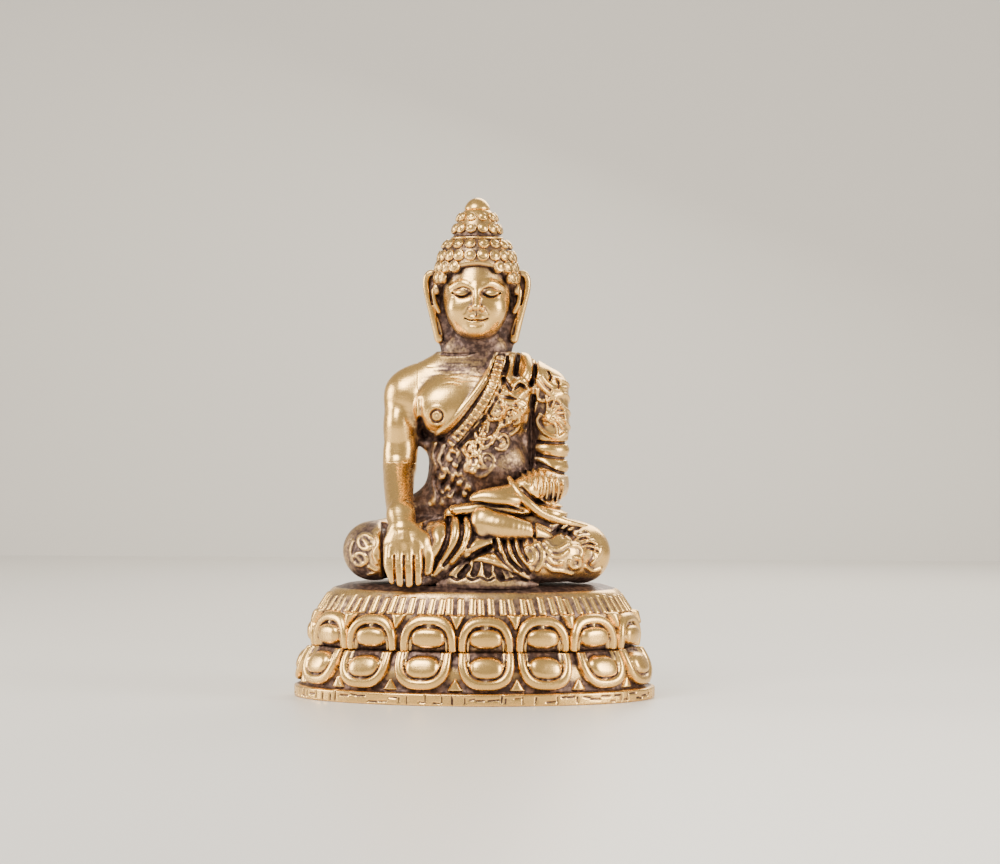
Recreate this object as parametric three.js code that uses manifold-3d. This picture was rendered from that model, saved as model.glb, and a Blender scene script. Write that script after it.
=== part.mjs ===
// A small cast brass Buddha, seated cross-legged on a double lotus pedestal, right hand touching the earth.
// Millimetres, +Z up. X runs from the figure's right hand to its left hand, and the figure faces -Y.
// The origin is on the surface that the statue stands on, under the middle of the pedestal.
import * as THREE from "three";
import { mergeVertices } from "three/addons/utils/BufferGeometryUtils.js";
import Module from "manifold-3d";

// Driving dimensions.
const TOTAL_HEIGHT = 70;
const FOOT_HALF_WIDTH = 25.4;
const DEPTH_RATIO = 0.68; // the pedestal is an oval: its depth is this share of its width
const WALL = 1.8; // thickness of the hollow pedestal castings, measured along X
const CLEARANCE = 0.15; // room round a spigot in its socket, filled by solder when it is put together

// The pedestal's levels.
const FOOT_BAND_TOP = 2.5;
const WAIST = 8.2;
const DECK = 16;
const PETALS_PER_ROW = 15;
const FIRST_PETAL_OFFSET = 1.5; // along the oval, from the middle of the front

// The figure's joints. Heights from here on are measured from the deck.
const WAIST_JOINT = 9.6;
const ELBOW_JOINT = 16.6;
const SHOULDER_JOINT = 28.2;
const NECK_JOINT = 32.4;
const CROWN_JOINT = 48.1;
const FINIAL_JOINT = 52.3;
const SHOULDER_FACE = 8.3; // half the distance between the flat faces that the arms are fixed to
const SHOULDER_Y = 1.8;
const HAIRLINE_SLOPE = 0.62; // radians: the hair comes lower behind than in front
const SOCKET_DEPTH = 2.4;

// Round spigots, each cast on one piece and let into the next.
const ARM_SPIGOT_RADIUS = 1.2;
const ELBOW_SPIGOT_RADIUS = 0.8;
const NECK_SPIGOT_RADIUS = 1.6;
const TORSO_SPIGOT_RADIUS = 3;
const SEAT_SPIGOT_RADIUS = 1.9;
const SEAT_SPIGOT_END = -5.4;
const SEAT_SPIGOTS = [
  [-7, 1],
  [7, 1],
];
const SEAT_PIN_RADIUS = 0.7;
const SEAT_PIN_HEIGHT = -WALL - SEAT_PIN_RADIUS - 0.1;
const SEAT_PIN_HALF_LENGTH = 3.4;

const wasm = await Module();
wasm.setup();

// ---- Solids from three.js geometry ----

function solid(geometry) {
  const loose = geometry.index ? geometry.toNonIndexed() : geometry.clone();
  loose.deleteAttribute("normal");
  loose.deleteAttribute("uv");
  const merged = mergeVertices(loose, 1e-4);
  const index = merged.index.array;
  const kept = [];
  for (let i = 0; i < index.length; i += 3) {
    const [a, b, c] = [index[i], index[i + 1], index[i + 2]];
    if (a !== b && b !== c && c !== a) kept.push(a, b, c);
  }
  const points = merged.attributes.position.array;
  const made = closed(points, kept);
  if (made.volume() > 0) return made;
  return closed(points, kept.map((v, i) => (i % 3 === 0 ? v : kept[i % 3 === 1 ? i + 1 : i - 1])));
}

function closed(vertProperties, triangles) {
  const triVerts = new Uint32Array(triangles);
  return new wasm.Manifold(new wasm.Mesh({ numProp: 3, vertProperties, triVerts }));
}

function join(...solids) {
  return solids.reduce((whole, made) => whole.add(made));
}

function cut(made, ...cutters) {
  return cutters.reduce((left, cutter) => left.subtract(cutter), made);
}

function largest(made) {
  return made.decompose().reduce((most, body) => (body.volume() > most.volume() ? body : most));
}

function box(low, high) {
  const size = high.map((value, i) => value - low[i]);
  const middle = high.map((value, i) => (value + low[i]) / 2);
  return solid(new THREE.BoxGeometry(...size).translate(...middle));
}

function ball(centre, radii, turn = 0, sides = 12) {
  const shape = new THREE.SphereGeometry(1, sides, Math.round(sides * 0.6)).rotateX(Math.PI / 2);
  return solid(shape.scale(...radii).rotateZ(turn).translate(...centre));
}

// A straight round bar between two points.
function bar(from, to, radius, sides = 12) {
  const [start, end] = [new THREE.Vector3(...from), new THREE.Vector3(...to)];
  const along = end.clone().sub(start);
  const shape = new THREE.CylinderGeometry(radius, radius, along.length(), sides);
  const up = new THREE.Vector3(0, 1, 0);
  shape.applyQuaternion(new THREE.Quaternion().setFromUnitVectors(up, along.normalize()));
  return solid(shape.translate(...start.add(end).multiplyScalar(0.5).toArray()));
}

// A turning about a vertical axis through [0, y], from [radius, height] points.
function turning(outline, sides, y = 0) {
  const shape = new THREE.LatheGeometry(outline.map(([r, z]) => new THREE.Vector2(r, z)), sides);
  return shape.rotateX(Math.PI / 2).translate(0, y, 0);
}

// The same, squeezed to the pedestal's oval. The radii are half widths.
function ovalTurning(outline) {
  return solid(turning(outline, 36).scale(1, DEPTH_RATIO, 1));
}

// A capsule bent along a smooth curve. Each joint of the limb is [x, y, z, radius].
function limb(joints, grow = 0, sides = 10) {
  const curve = new THREE.CatmullRomCurve3(joints.map(([x, y, z]) => new THREE.Vector3(x, y, z)));
  const spans = joints.length - 1;
  const rows = spans * 3;
  const frames = [];
  let across = new THREE.Vector3(1, 0, 0);
  for (let row = 0; row <= rows; row++) {
    const tangent = curve.getTangent(row / rows);
    across = across.clone().addScaledVector(tangent, -across.dot(tangent)).normalize();
    const span = Math.min(spans - 1, Math.floor((row / rows) * spans));
    const share = (row / rows) * spans - span;
    const radius = joints[span][3] * (1 - share) + joints[span + 1][3] * share + grow;
    const up = across.clone().cross(tangent);
    frames.push({ centre: curve.getPoint(row / rows), tangent, across, up, radius });
  }
  const shape = new THREE.CapsuleGeometry(1, rows, 3, sides, rows);
  const place = shape.attributes.position;
  for (let i = 0; i < place.count; i++) {
    const height = place.getY(i) + rows / 2;
    const straight = Math.min(rows, Math.max(0, height));
    const { centre, tangent, across: side, up, radius } = frames[Math.round(straight)];
    const point = centre.clone().addScaledVector(tangent, (height - straight) * radius);
    point.addScaledVector(side, place.getX(i) * radius).addScaledVector(up, place.getZ(i) * radius);
    place.setXYZ(i, point.x, point.y, point.z);
  }
  return solid(shape);
}

// A body of stacked oval slices. Each slice is [height, middle x, middle y, half width, half depth].
function slices(rows, grow = 0, sides = 24) {
  const last = rows.length - 1;
  const shape = new THREE.CylinderGeometry(1, 1, last, sides, last).rotateX(Math.PI / 2);
  const place = shape.attributes.position;
  for (let i = 0; i < place.count; i++) {
    const [height, x, y, halfWidth, halfDepth] = rows[Math.round(place.getZ(i) + last / 2)];
    place.setXYZ(i, x + place.getX(i) * (halfWidth + grow), y + place.getY(i) * (halfDepth + grow), height);
  }
  return solid(shape);
}

// ---- Pedestal: two hollow castings, the cup of the upper one let into the lower one at the waist ----

const RIM = FOOT_HALF_WIDTH - 2.2; // inner edge of the ring that the statue stands on

function hollow() {
  return ovalTurning([
    [0, -1],
    [RIM, -1],
    [RIM, 5],
    [23.4 - WALL, 6.6],
    [22.5 - WALL, WAIST],
    [20.9, 10.4],
    [20.6, 11.6],
    [19.4, 13],
    [17.4, DECK - WALL],
    [0, DECK - WALL],
  ]);
}

// Petals stand out of the wall all round, evenly spaced along the oval, and are cut off between two levels.
function petals(halfWidth, height, halfHeight, low, high) {
  const oval = new THREE.EllipseCurve(0, 0, halfWidth, halfWidth * DEPTH_RATIO);
  const start = 0.75 + FIRST_PETAL_OFFSET / oval.getLength();
  const row = Array.from({ length: PETALS_PER_ROW }, (_, i) => {
    const { x, y } = oval.getPointAt((start + i / PETALS_PER_ROW) % 1);
    return ball([x, y, height], [1, 3.7, halfHeight], Math.atan2(y, x * DEPTH_RATIO ** 2), 8);
  });
  return join(...row).intersect(box([-30, -30, low], [30, 30, high]));
}

function pedestalLower() {
  const outside = ovalTurning([
    [0, 0],
    [FOOT_HALF_WIDTH, 0],
    [FOOT_HALF_WIDTH, FOOT_BAND_TOP],
    [24.4, FOOT_BAND_TOP + 0.3],
    [24.2, 4.6],
    [23.4, 6.6],
    [22.5, WAIST],
    [0, WAIST],
  ]);
  return cut(join(outside, petals(23.9, 5.4, 3, 2.9, 7.5)), hollow());
}

function pedestalUpper() {
  const outside = ovalTurning([
    [0, WAIST],
    [22.5, WAIST],
    [22.8, 10.4],
    [22.4, 12.4],
    [21.4, 13.6],
    [20.2, 14.6],
    [19.9, 15.6],
    [18.9, DECK],
    [0, DECK],
  ]);
  const tongue = 22.5 - WALL - 2 * CLEARANCE; // the ring that reaches down inside the lower casting
  const ring = ovalTurning([
    [tongue - 1.4, WAIST - 1.3],
    [tongue, WAIST - 1.3],
    [tongue, WAIST],
    [tongue + 0.8, WAIST + 0.6],
    [tongue + 0.8, WAIST + 2.4],
    [tongue - 1.4, WAIST + 1.4],
    [tongue - 1.4, WAIST - 1.3],
  ]);
  const socketRadius = SEAT_SPIGOT_RADIUS + CLEARANCE;
  const sockets = SEAT_SPIGOTS.map(([x, y]) => bar([x, y, 0], [x, y, DECK + 1], socketRadius, 16));
  const cup = cut(join(outside, petals(22.4, 10.1, 2.9, 8.6, 13)), hollow());
  return cut(join(cup, ring), ...sockets);
}

// ---- Figure: seat, robe hem and foot ----

const FOOT_HEEL = [0.9, -9.3, 8.2];

function footShape() {
  return limb([
    [...FOOT_HEEL, 2.3],
    [4.4, -9.5, 7.9, 1.9],
    [7.4, -9.3, 7.3, 1.5],
    [9.6, -8.8, 6.9, 1],
  ]);
}

// The pleated end of the robe, spread like a fan on the deck in front of the crossed legs.
function hemShape() {
  const fan = new THREE.Shape();
  fan.moveTo(-4.6, 0);
  fan.lineTo(8.4, 0);
  fan.quadraticCurveTo(6.2, 2.2, 3.2, 3.2);
  fan.quadraticCurveTo(1.8, 4.8, 0.2, 4.6);
  fan.quadraticCurveTo(-2.4, 3, -4.6, 0);
  const shape = new THREE.ExtrudeGeometry(fan, { depth: 2.4, bevelEnabled: false, curveSegments: 5 });
  return solid(shape.rotateX(Math.PI / 2).translate(0, -10, 0));
}

function robeHem() {
  const pleats = [-2.6, -0.9, 0.8, 2.5, 4.2];
  return cut(hemShape(), ...pleats.map((x) => bar([x, -13, 0.9], [x * 0.55 + 0.3, -12.2, 3.6], 0.5, 6)));
}

function legs() {
  const seat = slices([
    [0, 0, 0.5, 12.2, 7],
    [1.6, 0, 0.5, 13, 7.8],
    [4, 0, 0.6, 12.6, 7.6],
    [7.6, 0, 1.2, 10.4, 6.8],
    [WAIST_JOINT, 0, 1.4, 8.6, 6],
  ]);
  const rightLeg = limb([
    [-7.5, 2.5, 5.4, 3.8],
    [-13.9, -3, 4.1, 4.2],
    [-6.5, -7.2, 3.8, 3.7],
    [1.5, -7.4, 4.4, 3.2],
  ]);
  const leftLeg = limb([
    [7.5, 2.5, 5.4, 3.8],
    [14.1, -3, 4.1, 4.2],
    [7.5, -7.8, 3.6, 3.5],
    [0, -8, 3.4, 3],
  ]);
  const aboveDeck = cut(join(seat, rightLeg, leftLeg), box([-30, -30, -10], [30, 30, 0]));
  const spigots = SEAT_SPIGOTS.map(([x, y]) => {
    const spigot = bar([x, y, SEAT_SPIGOT_END], [x, y, 2], SEAT_SPIGOT_RADIUS, 16);
    return cut(spigot, seatPin([x, y], CLEARANCE / 3));
  });
  const socketFloor = [0, 1.4, WAIST_JOINT - SOCKET_DEPTH];
  const waistSocket = bar(socketFloor, [0, 1.4, 20], TORSO_SPIGOT_RADIUS + CLEARANCE, 20);
  const aboveSeat = slices([
    [WAIST_JOINT, 0, 1.4, 8.6, 6],
    [20, 0, 1.4, 8.6, 6],
  ]);
  const fingerRest = box([-13, -14, -1], [-5.4, -10.5, 5.4]);
  const neighbours = [footShape(), hemShape(), handShape(), fingerRest, aboveSeat, waistSocket];
  return cut(join(aboveDeck, ...spigots), ...neighbours);
}

// The cross pins under the deck hold the seat's spigots.
function seatPin([x, y], grow = 0) {
  const [front, back] = [y - SEAT_PIN_HALF_LENGTH, y + SEAT_PIN_HALF_LENGTH];
  return bar([x, front, SEAT_PIN_HEIGHT], [x, back, SEAT_PIN_HEIGHT], SEAT_PIN_RADIUS + grow);
}

// ---- Figure: torso and the hatched border of its robe ----

const TORSO = [
  [WAIST_JOINT, 0, 1.4, 7.6, 5.4],
  [12, 0.2, 1.4, 6.9, 4.9],
  [16, 0.4, 1.5, 6.7, 4.7],
  [20, 0.3, 1.4, 7.3, 4.9],
  [24, 0.2, 1.3, 8.2, 5.2],
  [27, 0.1, 1.6, 9.4, 5],
  [29.6, 0, 2, 9.2, 4.2],
  [31.2, 0, 1.6, 7.2, 3.4],
  [NECK_JOINT, 0, 1, 4.8, 3],
];

function torso() {
  const spigot = bar([0, 1.4, WAIST_JOINT - SOCKET_DEPTH], [0, 1.4, 12], TORSO_SPIGOT_RADIUS, 20);
  const shoulders = [-1, 1].map((side) => ball([side * 7.4, SHOULDER_Y, 27.6], [3.4, 3.4, 3.6]));
  const outside = box([-20, -12, 17], [20, 12, 40]).subtract(betweenShoulders());
  const neckSocket = bar([0, 1, NECK_JOINT - SOCKET_DEPTH], [0, 1, 40], NECK_SPIGOT_RADIUS + CLEARANCE, 16);
  const sockets = [armSpigot(-1, CLEARANCE), armSpigot(1, CLEARANCE), neckSocket];
  const arms = [cut(sleeveShape(), betweenShoulders()), cut(upperArmShape(), betweenShoulders())];
  return cut(join(slices(TORSO), spigot, ...shoulders), outside, ...sockets, ...arms);
}

// The band runs from over the left shoulder to under the right breast, and stands out of the chest.
function robeBorder(body) {
  const slab = new THREE.BoxGeometry(2, 14, 22).rotateY(Math.atan2(7.6, 12.9)).translate(-0.4, -5, 25.2);
  const raised = slices(TORSO, 0.9).intersect(solid(slab)).intersect(box([-20, -20, 18], [20, 0, 31.2]));
  return largest(cut(raised, body, sleeveShape()));
}

// ---- Figure: arms and hands ----

function armSpigot(side, grow = 0) {
  const [inner, outer] = [SHOULDER_FACE - SOCKET_DEPTH - grow, SHOULDER_FACE + 1.6].map((x) => side * x);
  const ends = [inner, outer].map((x) => [x, SHOULDER_Y, SHOULDER_JOINT]);
  return bar(...ends, ARM_SPIGOT_RADIUS + grow);
}

function betweenShoulders() {
  return box([-SHOULDER_FACE, -20, 17], [SHOULDER_FACE, 20, 40]);
}

function upperArmShape() {
  return limb([
    [-9.8, SHOULDER_Y, 27.4, 3.2],
    [-10.4, 1.6, 22.6, 2.5],
    [-10.8, 1, ELBOW_JOINT - 1, 2.4],
  ]);
}

function rightUpperArm() {
  const belowElbow = box([-20, -12, 0], [0, 12, ELBOW_JOINT]);
  const socket = bar([-10.8, 1, 0], [-10.8, 1, ELBOW_JOINT + SOCKET_DEPTH], ELBOW_SPIGOT_RADIUS + CLEARANCE);
  return cut(join(cut(upperArmShape(), betweenShoulders(), belowElbow), armSpigot(-1)), socket);
}

// The forearm and the palm, without the fingers.
function handShape() {
  const forearm = limb([
    [-10.8, 1, ELBOW_JOINT, 2.4],
    [-10.9, -3.2, 12.9, 2.15],
    [-10.2, -8.4, 9.8, 1.95],
    [-9.6, -11, 7.2, 1.9],
  ]);
  return join(forearm, ball([-9.3, -11.6, 5.9], [3, 1.3, 2.8]));
}

const FINGERS = [
  // knuckle x, tip x, tip height, thickness
  [-11.2, -11.7, 0.5, 0.74],
  [-9.9, -10.2, 0.2, 0.78],
  [-8.6, -8.7, 0.3, 0.78],
  [-7.4, -7.3, 0.8, 0.74],
];

function rightForearm() {
  const fingers = FINGERS.map(([knuckle, tip, height, radius]) =>
    limb(
      [
        [knuckle, -11.9, 5.4, radius * 1.15],
        [tip, -12.4, 2.8, radius],
        [tip, -12.3, height + radius * 0.8, radius * 0.8],
      ],
      0,
      8,
    ),
  );
  const thumb = limb(
    [
      [-7.6, -11.4, 6.8, 1],
      [-6.4, -11.9, 4.6, 0.8],
      [-6.2, -11.9, 3.1, 0.62],
    ],
    0,
    8,
  );
  const aboveElbow = box([-20, -12, ELBOW_JOINT], [0, 12, 30]);
  const spigotTop = [-10.8, 1, ELBOW_JOINT + SOCKET_DEPTH - CLEARANCE];
  const spigot = bar([-10.8, 1, ELBOW_JOINT - 1.5], spigotTop, ELBOW_SPIGOT_RADIUS);
  return join(cut(join(handShape(), thumb, ...fingers), aboveElbow), spigot);
}

function sleeveShape() {
  return limb([
    [9.8, SHOULDER_Y, 27.6, 3.5],
    [10.5, 2, 22.5, 2.75],
    [10.4, 1, 14.8, 2.9],
    [8.2, -3.6, 12.8, 2.3],
    [6, -6.6, 12.6, 1.9],
  ]);
}

function leftSleeve() {
  return cut(join(cut(sleeveShape(), betweenShoulders()), armSpigot(1)), leftHand());
}

const LEFT_WRIST = [5.2, -8.2, 12.2];

function leftHand() {
  const palm = limb([
    [...LEFT_WRIST, 1.5],
    [1.5, -9, 11.7, 1.1],
    [-2.2, -8.8, 11.1, 0.75],
  ]);
  const thumb = limb(
    [
      [5, -7.7, 13.1, 1.1],
      [2.2, -7.9, 13.2, 0.85],
      [0, -8, 12.9, 0.6],
    ],
    0,
    8,
  );
  return join(palm, thumb);
}

// ---- Figure: head ----

// Above this leaning plane is hair, and below it are face and neck.
function hairHalf() {
  const half = new THREE.BoxGeometry(40, 40, 30).translate(0, 0, 15);
  return solid(half.rotateX(-HAIRLINE_SLOPE).translate(0, -0.8, 40.6));
}

function ears() {
  const each = [-1, 1].map((side) =>
    limb(
      [
        [side * 6, 0.4, 42.2, 1.3],
        [side * 5.7, 0.4, 38.6, 1.15],
        [side * 4.6, 0.3, 35, 0.95],
      ],
      0,
      8,
    ),
  );
  return join(...each);
}

function head() {
  const skull = ball([0, -0.6, 40.8], [5.1, 5.6, 7], 0, 18);
  const jaw = ball([0, -2.2, 38.4], [4.2, 3.8, 4.2], 0, 14);
  const nose = limb(
    [
      [0, -5.4, 42.4, 0.6],
      [0, -6.2, 40.4, 0.7],
      [0, -6.4, 38.9, 0.9],
    ],
    0,
    8,
  );
  const neck = slices([
    [NECK_JOINT, 0, 1, 4, 2.8],
    [35, 0, 0.8, 3.6, 3],
    [39, 0, 0.6, 3.6, 3.4],
  ]);
  const spigot = bar([0, 1, NECK_JOINT - SOCKET_DEPTH + CLEARANCE], [0, 1, 36], NECK_SPIGOT_RADIUS, 16);
  const crownBoss = bar([0, -0.3, 38], [0, -0.3, 43], 2, 16);
  return join(cut(join(skull, jaw, neck, nose), hairHalf()), ears(), spigot, crownBoss);
}

function hairCap() {
  const outer = ball([0, -0.4, 41.3], [6, 6.5, 7.5], 0, 22);
  const aboveCrown = box([-20, -20, CROWN_JOINT], [20, 20, 60]);
  const socketFloor = [0, -0.3, CROWN_JOINT - SOCKET_DEPTH];
  const knobSocket = bar(socketFloor, [0, -0.3, 60], ARM_SPIGOT_RADIUS + CLEARANCE);
  const headSocket = bar([0, -0.3, 30], [0, -0.3, 43 + CLEARANCE], 2 + CLEARANCE, 16);
  return cut(outer.intersect(hairHalf()), aboveCrown, knobSocket, headSocket, ears());
}

function ushnisha() {
  const outline = [
    [0, CROWN_JOINT],
    [3.5, CROWN_JOINT],
    [3.7, CROWN_JOINT + 0.7],
    [3.3, CROWN_JOINT + 1.8],
    [2.6, CROWN_JOINT + 3.3],
    [1.8, FINIAL_JOINT],
    [0, FINIAL_JOINT],
  ];
  const spigot = bar([0, -0.3, CROWN_JOINT - SOCKET_DEPTH + CLEARANCE], [0, -0.3, 50], ARM_SPIGOT_RADIUS);
  const finialSocket = bar([0, -0.3, FINIAL_JOINT - 1.4], [0, -0.3, 60], 0.5 + CLEARANCE);
  return cut(join(solid(turning(outline, 18, -0.3)), spigot), finialSocket);
}

function finial() {
  const top = TOTAL_HEIGHT - DECK;
  const outline = [
    [0, FINIAL_JOINT],
    [1.6, FINIAL_JOINT],
    [1.45, FINIAL_JOINT + 0.5],
    [1.05, top - 0.55],
    [0.55, top - 0.12],
    [0, top],
  ];
  const spigot = bar([0, -0.3, FINIAL_JOINT - 1.25], [0, -0.3, FINIAL_JOINT + 0.4], 0.5);
  return join(solid(turning(outline, 16, -0.3)), spigot);
}

// ---- Assembly ----

// Each piece has a material of its own, and its own origin at `at`, where it is fixed to the next piece.
function piece(name, made, color, at = [0, 0, 0]) {
  const { numProp, vertProperties, triVerts } = made.getMesh();
  const points = new Float32Array(3 * (vertProperties.length / numProp));
  for (let i = 0; i < points.length; i++) {
    points[i] = vertProperties[Math.floor(i / 3) * numProp + (i % 3)] - at[i % 3];
  }
  const geometry = new THREE.BufferGeometry();
  geometry.setAttribute("position", new THREE.BufferAttribute(points, 3));
  geometry.setIndex(new THREE.BufferAttribute(triVerts, 1));
  geometry.computeVertexNormals();
  const material = new THREE.MeshStandardMaterial({ color, roughness: 0.34, metalness: 1 });
  const mesh = new THREE.Mesh(geometry, material);
  mesh.name = name;
  mesh.position.set(...at);
  return mesh;
}

const BRASS = 0xb9935a;
const DARK_BRASS = 0x7d6040;
const COPPER = 0xa8653f;

const pedestal = new THREE.Group();
pedestal.name = "pedestal";
pedestal.add(piece("pedestal_lower", pedestalLower(), BRASS));
pedestal.add(piece("pedestal_upper", pedestalUpper(), BRASS, [0, 0, WAIST]));

const figure = new THREE.Group();
figure.name = "figure";
figure.position.z = DECK;
figure.add(piece("legs", legs(), BRASS));
figure.add(piece("seat_pin_right", seatPin(SEAT_SPIGOTS[0]), COPPER, [...SEAT_SPIGOTS[0], SEAT_PIN_HEIGHT]));
figure.add(piece("seat_pin_left", seatPin(SEAT_SPIGOTS[1]), COPPER, [...SEAT_SPIGOTS[1], SEAT_PIN_HEIGHT]));
figure.add(piece("robe_hem", robeHem(), DARK_BRASS, [0, -10, 0]));
figure.add(piece("right_foot", cut(footShape(), leftHand()), BRASS, FOOT_HEEL));

const body = torso();
figure.add(piece("torso", body, BRASS, [0, 1.4, WAIST_JOINT]));
figure.add(piece("robe_border", robeBorder(body), BRASS, [0, 1.4, WAIST_JOINT]));

const rightShoulder = [-SHOULDER_FACE, SHOULDER_Y, SHOULDER_JOINT];
const leftShoulder = [SHOULDER_FACE, SHOULDER_Y, SHOULDER_JOINT];
figure.add(piece("right_upper_arm", rightUpperArm(), BRASS, rightShoulder));
figure.add(piece("right_forearm", rightForearm(), BRASS, [-10.8, 1, ELBOW_JOINT]));
figure.add(piece("left_sleeve", leftSleeve(), BRASS, leftShoulder));
figure.add(piece("left_hand", leftHand(), BRASS, LEFT_WRIST));
figure.add(piece("head", head(), BRASS, [0, 1, NECK_JOINT]));
figure.add(piece("hair_cap", hairCap(), DARK_BRASS, [0, -0.3, CROWN_JOINT]));
figure.add(piece("ushnisha", ushnisha(), BRASS, [0, -0.3, CROWN_JOINT]));
figure.add(piece("finial", finial(), BRASS, [0, -0.3, FINIAL_JOINT]));

const statue = new THREE.Group();
statue.name = "buddha_statue";
statue.add(pedestal, figure);

export default statue;
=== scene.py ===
"""A small cast brass Buddha on a double lotus pedestal: the looks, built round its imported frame."""

import math
from functools import partial

import bpy
import numpy as np
from bpy.props import FloatProperty, FloatVectorProperty, PointerProperty
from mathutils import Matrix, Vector
from mathutils.bvhtree import BVHTree


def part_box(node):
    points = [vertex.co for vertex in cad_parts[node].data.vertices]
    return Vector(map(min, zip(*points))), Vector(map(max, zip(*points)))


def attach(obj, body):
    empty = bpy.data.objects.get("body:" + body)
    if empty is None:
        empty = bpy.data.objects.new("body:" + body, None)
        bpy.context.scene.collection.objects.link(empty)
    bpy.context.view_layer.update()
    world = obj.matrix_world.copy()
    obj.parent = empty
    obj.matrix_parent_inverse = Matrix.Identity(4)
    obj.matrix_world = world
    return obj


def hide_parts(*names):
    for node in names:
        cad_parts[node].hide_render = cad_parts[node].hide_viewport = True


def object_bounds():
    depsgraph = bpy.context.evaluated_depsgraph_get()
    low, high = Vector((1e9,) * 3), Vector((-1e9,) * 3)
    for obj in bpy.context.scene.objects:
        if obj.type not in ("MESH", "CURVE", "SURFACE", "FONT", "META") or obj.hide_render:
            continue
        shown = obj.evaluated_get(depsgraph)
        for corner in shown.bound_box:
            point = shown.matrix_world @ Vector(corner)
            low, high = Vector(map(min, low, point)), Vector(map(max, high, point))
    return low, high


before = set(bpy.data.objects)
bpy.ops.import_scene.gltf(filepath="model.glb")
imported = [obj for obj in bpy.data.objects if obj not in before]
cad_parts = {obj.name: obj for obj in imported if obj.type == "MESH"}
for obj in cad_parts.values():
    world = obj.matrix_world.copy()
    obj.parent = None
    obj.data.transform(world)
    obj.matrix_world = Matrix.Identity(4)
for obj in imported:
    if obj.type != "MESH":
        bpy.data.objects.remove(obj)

bl_info = {
    "name": "Brass Buddha Statue",
    "version": (1, 0, 0),
    "blender": (4, 5, 0),
    "location": "3D View > Sidebar > Buddha",
    "description": "Builds a cast brass Buddha on a double lotus pedestal, with patina, on a studio floor",
    "category": "Object",
}

CAD_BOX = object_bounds()
MM = 0.001


def height_of(node, top=True):
    """Height in millimetres of the top or the foot of a CAD node."""
    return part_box(node)[1 if top else 0].z / MM


DECK = height_of("pedestal_upper")
WAIST = height_of("pedestal_lower")
FOOT_HALF_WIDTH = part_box("pedestal_lower")[1].x / MM
FOOT_HALF_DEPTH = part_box("pedestal_lower")[1].y / MM
DEPTH_RATIO = FOOT_HALF_DEPTH / FOOT_HALF_WIDTH
TOTAL_HEIGHT = height_of("finial")


# ----------------------------------
# Modelling in the round. Shapes are distances in millimetres; a Lump is a shape with a ball that holds it.


class Lump:
    """A shape: its distance function, and the ball outside which it has no say (None for no bound)."""

    def __init__(self, distance, centre=None, reach=0.0):
        self.distance = distance
        self.centre = None if centre is None else np.asarray(centre, np.float32)
        self.reach = float(reach)


def turn_matrix(turn):
    """Rotation matrix from degrees about X, then Y, then Z."""
    x, y, z = (math.radians(a) for a in turn)
    cx, sx, cy, sy, cz, sz = math.cos(x), math.sin(x), math.cos(y), math.sin(y), math.cos(z), math.sin(z)
    about_x = np.array([[1, 0, 0], [0, cx, -sx], [0, sx, cx]])
    about_y = np.array([[cy, 0, sy], [0, 1, 0], [-sy, 0, cy]])
    about_z = np.array([[cz, -sz, 0], [sz, cz, 0], [0, 0, 1]])
    return (about_z @ about_y @ about_x).astype(np.float32)


def egg(centre, radii, turn=(0, 0, 0)):
    """An ellipsoid."""
    centre, radii = np.asarray(centre, np.float32), np.asarray(radii, np.float32)
    frame_of = turn_matrix(turn)

    def distance(p):
        q = (p - centre) @ frame_of
        near = np.linalg.norm(q / radii, axis=-1)
        slope = np.linalg.norm(q / radii**2, axis=-1)
        return near * (near - 1) / np.maximum(slope, 1e-6)

    return Lump(distance, centre, radii.max())


def smooth_path(points, steps=6):
    """Catmull-Rom curve through points of any dimension."""
    points = np.asarray(points, float)
    if len(points) < 3 or steps < 2:
        return points
    padded = np.vstack([2 * points[0] - points[1], points, 2 * points[-1] - points[-2]])
    rows = []
    for i in range(1, len(padded) - 2):
        a, b, c, d = padded[i - 1 : i + 3]
        for t in np.arange(steps) / steps:
            rows.append(0.5 * (2 * b + (c - a) * t + (2 * a - 5 * b + 4 * c - d) * t**2
                + (3 * b - a - 3 * c + d) * t**3))
    rows.append(points[-1])
    return np.array(rows)


def along(p, path, radii):
    """Distance from p to a chain of round bars whose radius changes along it. Works in 2D and 3D."""
    best = None
    for a, b, ra, rb in zip(path[:-1], path[1:], radii[:-1], radii[1:]):
        a, b = a.astype(np.float32), b.astype(np.float32)
        run = b - a
        share = np.clip((p - a) @ run / max(float(run @ run), 1e-9), 0, 1)
        d = np.linalg.norm(p - a - share[..., None] * run, axis=-1) - (ra + (rb - ra) * share)
        best = d if best is None else np.minimum(best, d)
    return best


def strand(*joints, steps=4):
    """A limb, finger or roll: each joint is (x, y, z, radius)."""
    path = smooth_path(joints, steps)
    centre = path[:, :3].mean(0)
    reach = np.linalg.norm(path[:, :3] - centre, axis=1).max() + path[:, 3].max()
    return Lump(lambda p: along(p, path[:, :3], path[:, 3]), centre, reach)


def drawn(points, axes=(0, 2), front=0.0, side=None, steps=5):
    """A line drawn on one side of the figure: points in two axes, for the surface past a level on a third.

    front is the Y under which it counts. A line elsewhere has a side (axis, sign, level): sign 1 is under
    the level, and -1 is over it."""
    path = smooth_path(np.asarray(points, float), steps)
    axis, sign, level = side or (1, 1, front)
    zeros = np.zeros(len(path))

    def distance(p):
        flat = along(p[..., list(axes)], path, zeros)
        return np.where(sign * (p[..., axis] - level) < 0, flat, FAR)

    lump = Lump(distance)
    lump.flat = (list(axes), path.mean(0).astype(np.float32),
        np.linalg.norm(path - path.mean(0), axis=1).max())
    return lump


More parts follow.
